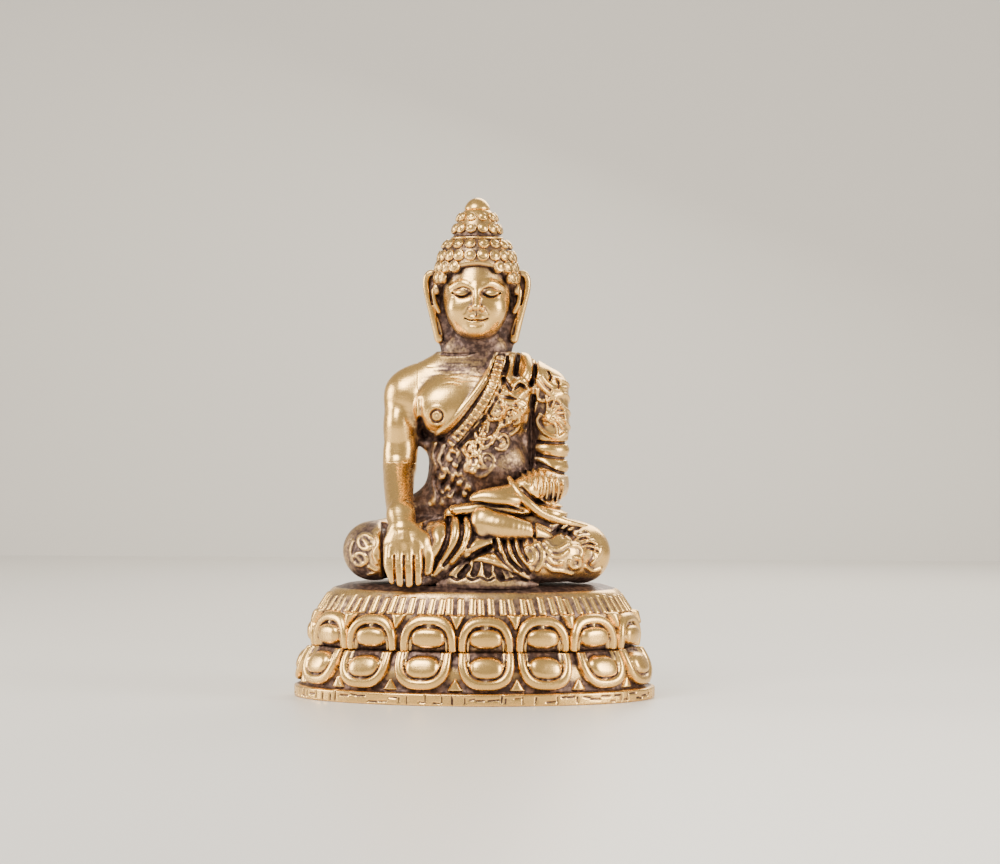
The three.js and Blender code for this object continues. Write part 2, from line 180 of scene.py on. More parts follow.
def ring(centre, radius, front=0.0, start=0.0, sweep=360.0, squash=1.0, tilt=0.0):
    """A circle or an arc drawn on the front, in degrees anticlockwise from X."""
    angles = np.radians(np.linspace(start, start + sweep, max(6, int(abs(sweep) / 20) + 1)))
    x, y = np.cos(angles) * radius, np.sin(angles) * radius * squash
    c, s = math.cos(math.radians(tilt)), math.sin(math.radians(tilt))
    points = np.stack([centre[0] + c * x - s * y, centre[1] + s * x + c * y], 1)
    return drawn(points, front=front, steps=1)


def either(a, b):
    """What is in one shape or the other."""
    return Lump(lambda p: np.minimum(a.distance(p), b.distance(p)))


def below(level, axis=2):
    """Everything under a level on one axis."""
    return Lump(lambda p: p[..., axis] - level)


def above(level, axis=2):
    """Everything over a level on one axis."""
    return Lump(lambda p: level - p[..., axis])


BLOCK = 8  # cells along one side of a block
FAR = 9.0  # the distance that stands for nowhere near
MARGIN = 1.6  # how far outside its ball a shape still blends
HALF_DIAGONAL = 0.87  # of a cube whose side is 1
VEIN_WIDTH, VEIN_DEPTH = 0.13, 0.45  # the groove along a leaf; its depth is a share of the leaf's height
GROOVE_CURVE, RIDGE_CURVE = 2, 1.25  # how sharply the two sides of a chisel mark fall away


def melt(a, b, blend):
    """Union of two distances with a fillet."""
    if blend <= 0:
        return np.minimum(a, b)
    h = np.maximum(blend - np.abs(a - b), 0) / blend
    return np.minimum(a, b) - h * h * blend * 0.25


def work(steps, p, centres, span):
    """Applies the modelling steps to blocks of points. p is (blocks, points, 3)."""
    d = np.full(p.shape[:2], FAR, np.float32)
    for kind, lump, *size in steps:
        if lump.centre is not None:
            pick = np.linalg.norm(centres - lump.centre, axis=1) < lump.reach + span + MARGIN
        elif hasattr(lump, "flat"):
            axes, middle, reach = lump.flat
            pick = np.linalg.norm(centres[:, axes] - middle, axis=1) < reach + span + MARGIN
        else:
            pick = np.ones(len(centres), bool)
        if not pick.any():
            continue
        shape = lump.distance(p[pick]).astype(np.float32) if lump.distance else None
        if kind == "add":
            d[pick] = melt(d[pick], shape, size[0])
        elif kind == "cut":
            d[pick] = -melt(-d[pick], shape, size[0])
        elif kind == "keep":
            d[pick] = -melt(-d[pick], -shape, size[0])
        elif kind == "shell":
            d[pick] = np.abs(d[pick]) - size[0]
        elif kind == "leaf":  # a raised mark with a fine groove along it
            height, width = size
            t = np.clip(np.abs(shape) / width, 0, 1)
            vein = VEIN_DEPTH * np.clip(1 - np.abs(shape) / VEIN_WIDTH, 0, 1)
            d[pick] += height * (vein - np.sqrt(1 - t * t))
        else:  # a chisel mark: depth over half a width
            depth, width = size
            t = np.clip(np.abs(shape) / width, 0, 1)
            d[pick] += depth * (1 - t * t) ** (GROOVE_CURVE if depth > 0 else RIDGE_CURVE)
    return d


def carve(steps, low, high, cell):
    """Distances on a grid. Only blocks near the surface are worked out in full."""
    low, high = np.asarray(low, np.float32), np.asarray(high, np.float32)
    size = BLOCK * cell
    count = np.ceil((high - low) / size).astype(int)
    index = np.indices(count).reshape(3, -1).T
    centres = (low + (index + 0.5) * size).astype(np.float32)
    rough = work(steps, centres[:, None, :], centres, size)[:, 0]
    near = np.abs(rough) < size * HALF_DIAGONAL * 1.5 + 0.5
    grid = np.where(rough < 0, -FAR, FAR).astype(np.float32)[:, None] * np.ones(BLOCK**3, np.float32)
    offset = (np.indices([BLOCK] * 3).reshape(3, -1).T * cell).astype(np.float32)
    corner = low + index[near] * size
    grid[near] = work(steps, corner[:, None, :].astype(np.float32) + offset, centres[near],
        size * HALF_DIAGONAL)
    grid = grid.reshape(*count, BLOCK, BLOCK, BLOCK).transpose(0, 3, 1, 4, 2, 5)
    return grid.reshape(count * BLOCK)


CORNERS = np.array([(i >> 2 & 1, i >> 1 & 1, i & 1) for i in range(8)])
EDGES = [(a, b) for a in range(8) for b in range(a + 1, 8) if np.abs(CORNERS[a] - CORNERS[b]).sum() == 1]


def skin(grid, low, cell):
    """Vertices and quads of the surface of a grid of distances (surface nets)."""
    inside = (grid < 0).astype(np.int8)
    shape = np.array(grid.shape) - 1
    total = sum(inside[x : x + shape[0], y : y + shape[1], z : z + shape[2]] for x, y, z in CORNERS)
    cells = np.argwhere((total > 0) & (total < 8))
    values = np.stack([grid[tuple((cells + c).T)] for c in CORNERS], 1)
    place, hits = np.zeros((len(cells), 3)), np.zeros(len(cells))
    for a, b in EDGES:
        va, vb = values[:, a], values[:, b]
        cross = (va < 0) != (vb < 0)
        t = np.where(cross, va / np.where(cross, va - vb, 1), 0)
        place += np.where(cross[:, None], CORNERS[a] + t[:, None] * (CORNERS[b] - CORNERS[a]), 0)
        hits += cross
    points = np.asarray(low) + (cells + place / hits[:, None]) * cell
    number = np.full(shape, -1, np.int64)
    number[tuple(cells.T)] = np.arange(len(cells))
    quads = []
    for axis in range(3):
        u, v = (axis + 1) % 3, (axis + 2) % 3
        first = inside[tuple(slice(0, -1) if k == axis else slice(1, -1) for k in range(3))]
        second = inside[tuple(slice(1, None) if k == axis else slice(1, -1) for k in range(3))]
        for flip, found in ((False, (first == 1) & (second == 0)), (True, (first == 0) & (second == 1))):
            at = np.argwhere(found)
            at[:, u] += 1
            at[:, v] += 1
            around = []
            for du, dv in ((1, 1), (0, 1), (0, 0), (1, 0)):
                cell_at = at.copy()
                cell_at[:, u] -= du
                cell_at[:, v] -= dv
                around.append(number[tuple(cell_at.T)])
            quad = np.stack(around, 1)
            quads.append(quad[:, ::-1] if flip else quad)
    return points, np.concatenate(quads)


def mesh_piece(name, points, faces):
    """A mesh object from points in millimetres and an array of quads or triangles."""
    mesh = bpy.data.meshes.new(name)
    faces = np.asarray(faces)
    corners = faces.shape[1]
    mesh.vertices.add(len(points))
    mesh.vertices.foreach_set("co", (np.asarray(points) * MM).astype(np.float32).ravel())
    mesh.loops.add(faces.size)
    mesh.loops.foreach_set("vertex_index", faces.astype(np.int32).ravel())
    mesh.polygons.add(len(faces))
    mesh.polygons.foreach_set("loop_start", np.arange(0, faces.size, corners, dtype=np.int32))
    mesh.polygons.foreach_set("use_smooth", np.ones(len(faces), bool))
    mesh.update(calc_edges=True)
    mesh.validate()
    return new_object(name, mesh)


def new_object(name, data):
    piece = bpy.data.objects.new(name, data)
    bpy.context.scene.collection.objects.link(piece)
    return piece


def sculpted(name, steps, low, high, cell):
    """A piece from its modelling steps, inside a box in millimetres."""
    grid = carve(steps, low, high, cell)
    return mesh_piece(name, *skin(grid, low, cell))


def settle(piece, finish, *nodes):
    """Gives a finished piece its material and its place in the frame."""
    piece.data.materials.clear()
    piece.data.materials.append(finish)
    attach(piece, "root")
    if nodes:
        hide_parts(*nodes)
    return piece


# ----------------------------------
# Rows of like parts, set out along an oval path by one node tree.


def group_tree(kind, name, inputs, outputs):
    """A node group with named inputs (name, kind, default) and outputs (name, kind)."""
    tree = bpy.data.node_groups.new(name, kind + "NodeTree")
    for label, socket_kind, default in inputs:
        socket = tree.interface.new_socket(label, in_out="INPUT", socket_type="NodeSocket" + socket_kind)
        if default is not None:
            socket.default_value = default
    for label, socket_kind in outputs:
        tree.interface.new_socket(label, in_out="OUTPUT", socket_type="NodeSocket" + socket_kind)
    return tree, tree.nodes.new("NodeGroupInput").outputs, tree.nodes.new("NodeGroupOutput").inputs


def wire(tree, source, target):
    """Links a node or socket to a socket, or sets a plain value on it."""
    if isinstance(source, (int, float, tuple)):
        target.default_value = source
    else:
        tree.links.new(source, target)


def math_node(tree, operation, a, b=None, c=None):
    node = tree.nodes.new("ShaderNodeMath")
    node.operation = operation
    for value, socket in zip((a, b, c), node.inputs):
        if value is not None:
            wire(tree, value, socket)
    return node.outputs[0]


def new_node(tree, kind, *first, **named):
    """A node with its first inputs, or the inputs of these names, wired or set."""
    node = tree.nodes.new(kind)
    for label, source in (*enumerate(first), *named.items()):
        wire(tree, source, node.inputs[label])
    return node


def vector_of(tree, x=0.0, y=0.0, z=0.0):
    """A vector from three values or sockets."""
    return new_node(tree, "ShaderNodeCombineXYZ", x, y, z).outputs[0]


def vector_node(tree, operation, a, b=None, scale=None):
    node = tree.nodes.new("ShaderNodeVectorMath")
    node.operation = operation
    wire(tree, a, node.inputs[0])
    if b is not None:
        wire(tree, b, node.inputs[1])
    if scale is not None:
        wire(tree, scale, node.inputs["Scale"])
    return node.outputs["Value" if operation in ("DOT_PRODUCT", "LENGTH") else "Vector"]


ROW_SOCKETS = [
    ("Part", "Object", None),
    ("Count", "Int", 16),
    ("Half Width", "Float", 0.023),
    ("Half Depth", "Float", 0.0156),
    ("Height", "Float", 0.0),
    ("Taper", "Float", 0.0),
    ("Start", "Float", 0.75),
    ("Sweep", "Float", 1.0),
    ("Lean", "Float", 0.0),
    ("Jitter", "Float", 0.0),
    ("Seed", "Int", 1),
    ("Centre Y", "Float", 0.0),
    ("Material", "Material", None),
]


def row_tree():
    """Row Round An Oval: parts along an oval, bent to it. A part has X along the row, -Y outwards, Z up.

    Taper is how fast the half width grows with height. Start and Sweep are shares of the way round from X."""
    name = "Row Round An Oval"
    if name in bpy.data.node_groups:
        return bpy.data.node_groups[name]
    tree, given, out = group_tree("Geometry", name, ROW_SOCKETS, [("Geometry", "Geometry")])
    calc = partial(math_node, tree)
    circle = new_node(tree, "GeometryNodeCurvePrimitiveCircle", Resolution=360, Radius=1.0)
    size = vector_of(tree, given["Half Width"], given["Half Depth"], 1.0)
    oval = new_node(tree, "GeometryNodeTransform", Geometry=circle.outputs["Curve"], Scale=size)
    length = new_node(tree, "GeometryNodeCurveLength", oval.outputs[0])
    points = new_node(tree, "GeometryNodePoints", Count=given["Count"])
    index = tree.nodes.new("GeometryNodeInputIndex").outputs[0]

    def random(low, high, salt):
        node = tree.nodes.new("FunctionNodeRandomValue")
        node.data_type = "FLOAT"
        wire(tree, low, node.inputs[2])
        wire(tree, high, node.inputs[3])
        wire(tree, index, node.inputs["ID"])
        wire(tree, calc("ADD", given["Seed"], float(salt)), node.inputs["Seed"])
        return node.outputs[1]

    minus = calc("MULTIPLY", given["Jitter"], -1.0)
    loose = [random(minus, given["Jitter"], salt) for salt in (1, 2, 3, 4)]
    slot = calc("ADD", calc("ADD", index, 0.5), loose[0])
    share = calc("DIVIDE", slot, given["Count"])
    turn = calc("MULTIPLY_ADD", share, given["Sweep"], given["Start"])
    start = vector_of(tree, calc("MULTIPLY", turn, length.outputs[0]))
    placed = new_node(tree, "GeometryNodeSetPosition", Geometry=points.outputs[0], Position=start)

    part = new_node(tree, "GeometryNodeObjectInfo", Object=given["Part"])
    rotate = vector_of(tree, given["Lean"], calc("MULTIPLY", loose[1], 0.5))
    scale = vector_of(tree, *(calc("MULTIPLY_ADD", loose[salt], 0.8, 1.0) for salt in (2, 3, 2)))
    spread = new_node(
        tree, "GeometryNodeInstanceOnPoints", Points=placed.outputs[0], Instance=part.outputs["Geometry"],
        Rotation=rotate, Scale=scale,
    )
    real = new_node(tree, "GeometryNodeRealizeInstances", spread.outputs[0])

    place = tree.nodes.new("GeometryNodeInputPosition").outputs[0]
    at = new_node(tree, "ShaderNodeSeparateXYZ", place).outputs
    sample = tree.nodes.new("GeometryNodeSampleCurve")
    sample.mode = "LENGTH"
    wire(tree, oval.outputs[0], sample.inputs["Curves"])
    wire(tree, calc("FLOORED_MODULO", at[0], length.outputs[0]), sample.inputs["Length"])
    inward = vector_node(tree, "CROSS_PRODUCT", (0.0, 0.0, 1.0), sample.outputs["Tangent"])
    grow = calc("DIVIDE", calc("MULTIPLY", at[2], given["Taper"]), given["Half Width"])
    ground = vector_node(tree, "SCALE", sample.outputs["Position"], scale=calc("ADD", grow, 1.0))
    ground = vector_node(tree, "ADD", ground, vector_node(tree, "SCALE", inward, scale=at[1]))
    lift = vector_of(tree, 0.0, given["Centre Y"], calc("ADD", at[2], given["Height"]))
    ground = vector_node(tree, "ADD", ground, lift)
    wrapped = new_node(tree, "GeometryNodeSetPosition", Geometry=real.outputs[0], Position=ground)
    painted = new_node(tree, "GeometryNodeSetMaterial", wrapped.outputs[0], Material=given["Material"])
    wire(tree, painted.outputs[0], out[0])
    return tree


def made_by(name, tree, values):
    """A plain mesh piece from a geometry node tree and its named inputs."""
    carrier = new_object(name, bpy.data.meshes.new(name))
    modifier = carrier.modifiers.new("Nodes", "NODES")
    modifier.node_group = tree
    for item in tree.interface.items_tree:
        if item.in_out == "INPUT" and item.name in values:
            modifier[item.identifier] = values[item.name]
    carrier.update_tag()
    bpy.context.view_layer.update()
    evaluated = carrier.evaluated_get(bpy.context.evaluated_depsgraph_get())
    mesh = bpy.data.meshes.new_from_object(evaluated)
    carrier.modifiers.clear()
    carrier.data = mesh
    mesh.name = name
    mesh.polygons.foreach_set("use_smooth", np.ones(len(mesh.polygons), bool))
    return carrier


LENGTHS = ("half_width", "half_depth", "height", "centre_y")


def row(name, part, finish, **values):
    """One row of a part round an oval. A value is named after its socket, and lengths are in millimetres."""
    values.setdefault("half_depth", values["half_width"] * DEPTH_RATIO)
    sockets = {"Part": part, "Material": finish}
    for label, value in values.items():
        sockets[label.replace("_", " ").title()] = value * MM if label in LENGTHS else value
    piece = made_by(name, row_tree(), sockets)
    bpy.data.objects.remove(part)
    return piece


BAR_SOCKETS = [
    ("Path", "Object", None),
    ("Surface", "Object", None),
    ("Bar", "Object", None),
    ("Pitch", "Float", 0.001),
    ("Material", "Material", None),
]


def bars_tree():
    """Bars Along A Path: bars along a path, lying on a surface. A bar has X across the path."""
    name = "Bars Along A Path"
    if name in bpy.data.node_groups:
        return bpy.data.node_groups[name]
    tree, given, out = group_tree("Geometry", name, BAR_SOCKETS, [("Geometry", "Geometry")])
    path, surface, bar = (
        new_node(tree, "GeometryNodeObjectInfo", Object=given[label]).outputs["Geometry"]
        for label in ("Path", "Surface", "Bar")
    )
    curve = new_node(tree, "GeometryNodeMeshToCurve", path)
    points = tree.nodes.new("GeometryNodeCurveToPoints")
    points.mode = "LENGTH"
    wire(tree, curve.outputs[0], points.inputs["Curve"])
    wire(tree, given["Pitch"], points.inputs["Length"])
    nearest = tree.nodes.new("GeometryNodeProximity")
    nearest.target_element = "FACES"
    wire(tree, surface, nearest.inputs[0])
    dots, near = points.outputs["Points"], nearest.outputs["Position"]
    lie = new_node(tree, "GeometryNodeSetPosition", Geometry=dots, Position=near)
    facing = tree.nodes.new("GeometryNodeSampleNearestSurface")
    facing.data_type = "FLOAT_VECTOR"
    wire(tree, surface, facing.inputs["Mesh"])
    wire(tree, tree.nodes.new("GeometryNodeInputNormal").outputs[0], facing.inputs["Value"])
    first = new_node(tree, "FunctionNodeAlignRotationToVector", Vector=facing.outputs["Value"])
    first.axis = "Z"
    second = new_node(
        tree, "FunctionNodeAlignRotationToVector", Rotation=first.outputs[0], Vector=points.outputs["Tangent"]
    )
    second.axis, second.pivot_axis = "Y", "Z"
    spread = new_node(
        tree, "GeometryNodeInstanceOnPoints", Points=lie.outputs[0], Instance=bar, Rotation=second.outputs[0]
    )
    real = new_node(tree, "GeometryNodeRealizeInstances", spread.outputs[0])
    painted = new_node(tree, "GeometryNodeSetMaterial", real.outputs[0], Material=given["Material"])
    wire(tree, painted.outputs[0], out[0])
    return tree


def bars_along(name, points, surface, pitch, half, finish):
    """Bars along points (x, z) in millimetres, brought onto the front of a surface."""
    tree = BVHTree.FromObject(surface, bpy.context.evaluated_depsgraph_get())
    path = []
    for x, z in points:
        hit = tree.ray_cast(Vector((x * MM, -0.03, z * MM)), Vector((0, 1, 0)))[0]
        if hit is not None:
            path.append(tuple(hit))
    line = bpy.data.meshes.new(name + "_path")
    line.from_pydata(path, [(i, i + 1) for i in range(len(path) - 1)], [])
    line_object = new_object(name + "_path", line)
    across, along_it, high = half
    profile = [(-1.0, -0.4), (-0.75, 0.7), (0.0, 1.0), (0.75, 0.7), (1.0, -0.4)]
    corners = [(s * across, a * along_it, h * high) for s in (-1, 1) for a, h in profile]
    faces = [(i, i + 1, i + 6, i + 5) for i in range(4)] + [(4, 0, 5, 9)]
    triangles = [t for a, b, c, d in faces for t in ((a, c, b), (a, d, c))]
    triangles += [(0, i, i + 1) for i in (1, 2, 3)] + [(5, 5 + i + 1, 5 + i) for i in (1, 2, 3)]
    bar = mesh_piece(name + "_bar", np.array(corners), np.array(triangles))
    sockets = {"Path": line_object, "Surface": surface, "Bar": bar, "Pitch": pitch, "Material": finish}
    piece = made_by(name, bars_tree(), sockets)
    for spare in (line_object, bar):
        bpy.data.objects.remove(spare)
    return piece


def read_array(items, label, width=1, kind=np.float32):
    """One property of all vertices, edges, loops or faces, as rows."""
    values = np.empty(len(items) * width, kind)
    items.foreach_get(label, values)
    return values.reshape(-1, width) if width > 1 else values


def join_pieces(name, pieces):
    """Makes several meshes one piece."""
    points, recess, faces, start = [], [], {3: [], 4: []}, 0
    for piece in pieces:
        mesh = piece.data
        points.append(read_array(mesh.vertices, "co", 3) / MM)
        recess.append(recess_of(piece))
        loops = read_array(mesh.loops, "vertex_index", kind=np.int64)
        totals = read_array(mesh.polygons, "loop_total", kind=np.int64)
        firsts = np.cumsum(totals) - totals
        for corners in (3, 4):
            chosen = firsts[totals == corners]
            faces[corners].append(loops[chosen[:, None] + np.arange(corners)] + start)
        start += len(mesh.vertices)
        bpy.data.objects.remove(piece)
    tris, quads = np.concatenate(faces[3]), np.concatenate(faces[4])
    if len(tris):
        quads = np.concatenate([tris, quads[:, [0, 1, 2]], quads[:, [0, 2, 3]]])
    joined = mesh_piece(name, np.concatenate(points), quads)
    store(joined, "recess", np.concatenate(recess))
    return joined


def recess_of(piece):
    """How deep each vertex lies in its piece's own pattern, 0 to 1."""
    if "recess" not in piece.data.attributes:
        return np.zeros(len(piece.data.vertices), np.float32)
    return read_array(piece.data.attributes["recess"].data, "value")


def relief(name, width, low, high, height, cell=0.16, back=0.7, floor=-0.1):
    """A closed tile: height(x, z) is how far its face stands out, in millimetres, towards -Y."""
    across, up = max(4, round(width / cell)), max(4, round((high - low) / cell))
    places, levels = np.linspace(-width / 2, width / 2, across + 1), np.linspace(low, high, up + 1)
    x, z = np.meshgrid(places, levels, indexing="ij")
    face = np.stack([x, -height(x, z), z], -1).reshape(-1, 3)
    behind = np.stack([x, np.full_like(x, back), z], -1).reshape(-1, 3)
    number = np.arange((across + 1) * (up + 1)).reshape(across + 1, up + 1)
    quads = np.stack([number[:-1, :-1], number[1:, :-1], number[1:, 1:], number[:-1, 1:]], -1).reshape(-1, 4)
    edge = np.concatenate([number[:, 0], number[-1, 1:], number[-2::-1, -1], number[0, -2:0:-1]])
    following = np.roll(edge, -1)
    total = number.size
    sides = np.stack([edge, edge + total, following + total, following], 1)
    faces = np.concatenate([quads, quads[:, ::-1] + total, sides])
    tile = mesh_piece(name, np.concatenate([face, behind]), faces)
    recess = 1 - ramp(height(x, z).ravel(), floor, floor + 0.5)
    store(tile, "recess", np.concatenate([recess, np.ones(total)]))
    return tile


def swell(distance, half_width):
    """A rounded ridge: 1 on its line, 0 past half its width."""
    return np.sqrt(np.maximum(0, 1 - (distance / half_width) ** 2))


def ramp(value, low, high):
    """0 under low, 1 over high, and smooth between."""
    t = np.clip((value - low) / (high - low), 0, 1)
    return t * t * (3 - 2 * t)


# ----------------------------------
# Pedestal. Levels are heights of the outside, and radii are half widths of the oval.

PETAL_COUNT = 15
UPPER_WIDTH, LOWER_WIDTH = 7.7, 8.0
SEAM = WAIST - 1.0  # where the two rows of petals meet on the outside
UPPER_FOOT, UPPER_TOP = SEAM + 0.08, 12.25
LOWER_FOOT, LOWER_TOP = 2.05, SEAM - 0.08
FIRST_PETAL = 0.75 + 0.0127  # the share of the way round at which a petal's middle stands
PETAL_START = FIRST_PETAL - 0.5 / PETAL_COUNT  # the petals, so that the points stand between them


def petal_height(x, z, wide, tall, boss_at, boss_half):
    """Face of a lotus petal that opens at z = 0: a flat rim, a deep groove, a fine line and a boss."""
    q = ((np.abs(x) / (wide / 2)) ** 2.7 + (np.maximum(z - 0.2, 0) / (tall - 0.2)) ** 2.7) ** (1 / 2.7)
    rim = 0.72 * np.clip(1 - np.abs((q - 0.845) / 0.155) ** 2.6, 0, 1) ** 0.6
    line = 0.3 * swell(q - 0.635, 0.035) * ramp(np.abs(x), 1.2, 2.0)
    cusp = 0.55 * np.exp(-((x / 0.42) ** 2)) * ramp(z, boss_at, tall * 0.8) * ramp(0.86 - q, 0, 0.2)
    b = ((np.abs(x) / boss_half[0]) ** 2.6 + (np.abs(z - boss_at) / boss_half[1]) ** 2.6) ** (1 / 2.6)
    boss = 0.9 * np.maximum(0, 1 - b**4.2) ** 0.5
    out = np.maximum(np.maximum(rim, line), np.maximum(cusp, boss))
    floor = np.where(q < 0.8, -0.3, -0.75 * ramp(q, 0.98, 1.03))
    return np.where(out > 0.02, out + 0.12, floor)


def petal(name, wide, tall, boss_at, boss_half, opens_down=True):
    """One petal as a tile with a swelling belly."""

    def height(x, z):
        belly = 0.5 * (1 - (2 * z / tall - 1) ** 2)
        return petal_height(x, z if opens_down else tall - z, wide, tall, boss_at, boss_half) + belly

    return relief(name, wide + 0.3, 0.0, tall, height, 0.15, floor=0.25)


def dart(name, width, tall, high):
    """The tip of a petal behind, seen between two petals: a triangle that points down when tall is over 0."""

    def height(x, z):
        share = z / abs(tall) if tall > 0 else 1 - z / abs(tall)
        half = width / 2 * np.clip(share, 0.02, 1) ** 0.8
        body = high * np.sqrt(np.clip(1 - (x / half) ** 2, 0, 1)) * ramp(1.02 - share, 0, 0.12)
        return np.where(body > 0.01, body, -0.3)

    return relief(name, width + 0.4, 0.0, abs(tall), height, 0.16)


def flute(name, width, tall, high):
    """One upright rib of the collar under the deck."""

    def height(x, z):
        ends = ramp(z, 0.0, 0.35) * ramp(tall - z, 0.0, 0.3)
        return high * swell(x, width / 2) ** 0.8 * ends - 0.12

    return relief(name, width + 0.1, 0.0, tall, height, 0.13, floor=0.05)


def oval_wall(name, outside, inside, around):
    """A hollow oval body: closed, from [half width, height] points outside and inside, bottom to top."""
    profile = np.array(list(outside) + list(inside)[::-1], float)
    angle = np.linspace(0, 2 * math.pi, around, endpoint=False)
    rows, count = len(profile), around
    x = profile[:, 0][:, None] * np.cos(angle)
    y = profile[:, 0][:, None] * DEPTH_RATIO * np.sin(angle)
    z = profile[:, 1][:, None] * np.ones(count)
    slope = np.stack([np.cos(angle), np.sin(angle) / DEPTH_RATIO], 0)
    slope /= np.linalg.norm(slope, axis=0)
    depth = scribed(angle, profile[: len(outside)])
    x[: len(outside)] += depth * slope[0]
    y[: len(outside)] += depth * slope[1]
    points = np.stack([x, y, z], -1).reshape(-1, 3)
    number = np.arange(rows * count).reshape(rows, count)
    right = np.roll(number, -1, axis=1)
    quads = np.stack([number, right, np.roll(right, -1, axis=0), np.roll(number, -1, axis=0)], -1)
    ends_on_axis = profile[len(outside) - 1, 0] == 0 and profile[len(outside), 0] == 0
    if ends_on_axis:
        quads = np.delete(quads, len(outside) - 1, axis=0)
    wall = mesh_piece(name, points, quads.reshape(-1, 4))
    recess = 0.85 * ramp(z, 1.6, 1.9)
    recess[: len(outside)] = np.maximum(recess[: len(outside)], np.clip(-6.0 * depth - 0.3, 0, 1))
    store(wall, "recess", recess.ravel())
    return wall


def scribed(angle, profile):
    """Depths of the hand-cut strokes on the foot band, and of the waves that a hand-finished edge has."""
    local = np.random.default_rng(5)
    arc = np.hypot(np.sin(angle) * FOOT_HALF_WIDTH, np.cos(angle) * FOOT_HALF_DEPTH)
    along_it = np.cumsum(arc) * (angle[1] - angle[0])
    turn = along_it[-1]
    s, z = along_it[None, :], profile[:, 1][:, None]
    depth = np.zeros((len(profile), len(angle)))
    at = 0.0
    while at < turn:
        step = local.uniform(0.5, 1.9)
        if local.random() < 0.35:
            a, b = (at, local.uniform(0.1, 0.5)), (at + local.uniform(-0.1, 0.1), local.uniform(1.0, 1.5))
        else:
            level = local.choice([0.45, 0.8, 1.15]) + local.uniform(-0.1, 0.1)
            a, b = (at, level), (at + step * local.uniform(0.6, 1.1), level + local.uniform(-0.12, 0.12))
        run = np.array(b) - a
        share = np.clip(((s - a[0]) * run[0] + (z - a[1]) * run[1]) / (run @ run), 0, 1)
        gap = np.hypot(s - a[0] - share * run[0], z - a[1] - share * run[1])
        depth -= 0.22 * np.clip(1 - (gap / 0.19) ** 2, 0, 1) ** 1.5
        at += step
    wave = 0.09 * np.sin(s / turn * 2 * math.pi * 9 + 1) + 0.06 * np.sin(s / turn * 2 * math.pi * 23)
    low_band = (z < 1.6) & (z > 0.1)
    return np.where(low_band, depth, 0) + wave * np.where(z < 1.9, 0.35, 0.6) * ramp(z, 0.0, 0.3)


LOWER_OUTSIDE = [
    (23.6, 0.0), (24.6, 0.0), (25.15, 0.02), (25.32, 0.12),
    *[(25.36, h) for h in np.arange(0.24, 1.46, 0.12)], (25.3, 1.54), (25.05, 1.66), (24.6, 1.76),
    (24.3, 1.95), (24.25, 2.6), (24.2, 3.4), (24.0, 4.4), (23.6, 5.2), (23.1, 6.0), (22.7, 6.6), (22.5, 6.9),
    (22.35, 7.08), (22.2, SEAM), (21.0, SEAM),
]
LOWER_INSIDE = [(23.3, 0.25), (23.2, 1.0), (23.2, 4.2), (21.8, 5.8), (20.8, SEAM - 0.2)]
UPPER_OUTSIDE = [
    (20.6, SEAM), (21.8, SEAM), (22.1, 7.35), (22.3, 7.7), (22.4, 8.8), (22.35, 10.2), (22.2, 11.2),
    (22.0, 12.0), (21.7, 12.6), (21.5, 13.1), (21.2, 13.6), (20.85, 14.15), (20.45, 14.7), (20.15, 15.0),
    (19.85, 15.2), (19.5, 15.3), (19.1, 15.38), (18.5, 15.6), (17.8, 15.8), (16.8, 15.92), (14.0, DECK),
    (8.0, DECK), (0.0, DECK),
]
UPPER_INSIDE = [(20.7, SEAM + 0.3), (20.9, 10.4), (20.4, 11.6), (19.2, 13.0), (17.2, 14.0), (0.0, 14.2)]


def build_lower_lotus(look, finish):
    wall = oval_wall("lotus_lower", LOWER_OUTSIDE, LOWER_INSIDE, 960)
    settle(wall, finish, "pedestal_lower")
    tile = petal("petal_tile", LOWER_WIDTH, LOWER_TOP - LOWER_FOOT, 1.98, (2.3, 1.5), opens_down=False)
    petals = row(
        "lotus_lower_petals", tile, finish, count=PETAL_COUNT, start=PETAL_START, half_width=24.35,
        height=LOWER_FOOT, taper=-0.3, seed=3, jitter=look.unevenness,
    )
    bump = dart("bump_tile", 2.3, -1.7, 0.5)
    bumps = row(
        "lotus_lower_points", bump, finish, count=PETAL_COUNT, start=FIRST_PETAL, half_width=24.3,
        height=LOWER_FOOT - 0.05, taper=-0.2, seed=4, jitter=look.unevenness,
    )
    for piece in (petals, bumps):
        settle(piece, finish)
    return [wall, petals, bumps]


def build_upper_lotus(look, finish):
    wall = oval_wall("lotus_upper", UPPER_OUTSIDE, UPPER_INSIDE, 900)
    settle(wall, finish, "pedestal_upper")
    tile = petal("petal_tile", UPPER_WIDTH, UPPER_TOP - UPPER_FOOT, 1.75, (2.25, 1.4))
    petals = row(
        "lotus_upper_petals", tile, finish, count=PETAL_COUNT, start=PETAL_START, half_width=22.35,
        height=UPPER_FOOT, taper=-0.14, seed=5, jitter=look.unevenness,
    )
    tip = dart("dart_tile", 2.3, 2.1, 0.9)
    darts = row(
        "lotus_upper_points", tip, finish, count=PETAL_COUNT, start=FIRST_PETAL, half_width=22.6,
        height=10.25, taper=-0.25, seed=6, jitter=look.unevenness,
    )
    pitch = look.flute_pitch / MM
    rib = flute("flute_tile", pitch - 0.3, 2.7, 0.5)
    reach = math.pi * math.sqrt(2) * math.hypot(21.3, 21.3 * DEPTH_RATIO)
    flutes = row(
        "lotus_collar", rib, finish, count=round(reach / pitch), start=0.0, half_width=22.0, height=12.05,
        taper=-0.66, seed=7, jitter=look.unevenness * 3.4,
    )
    for piece in (petals, darts, flutes):
        settle(piece, finish)
    return [wall, petals, darts, flutes]
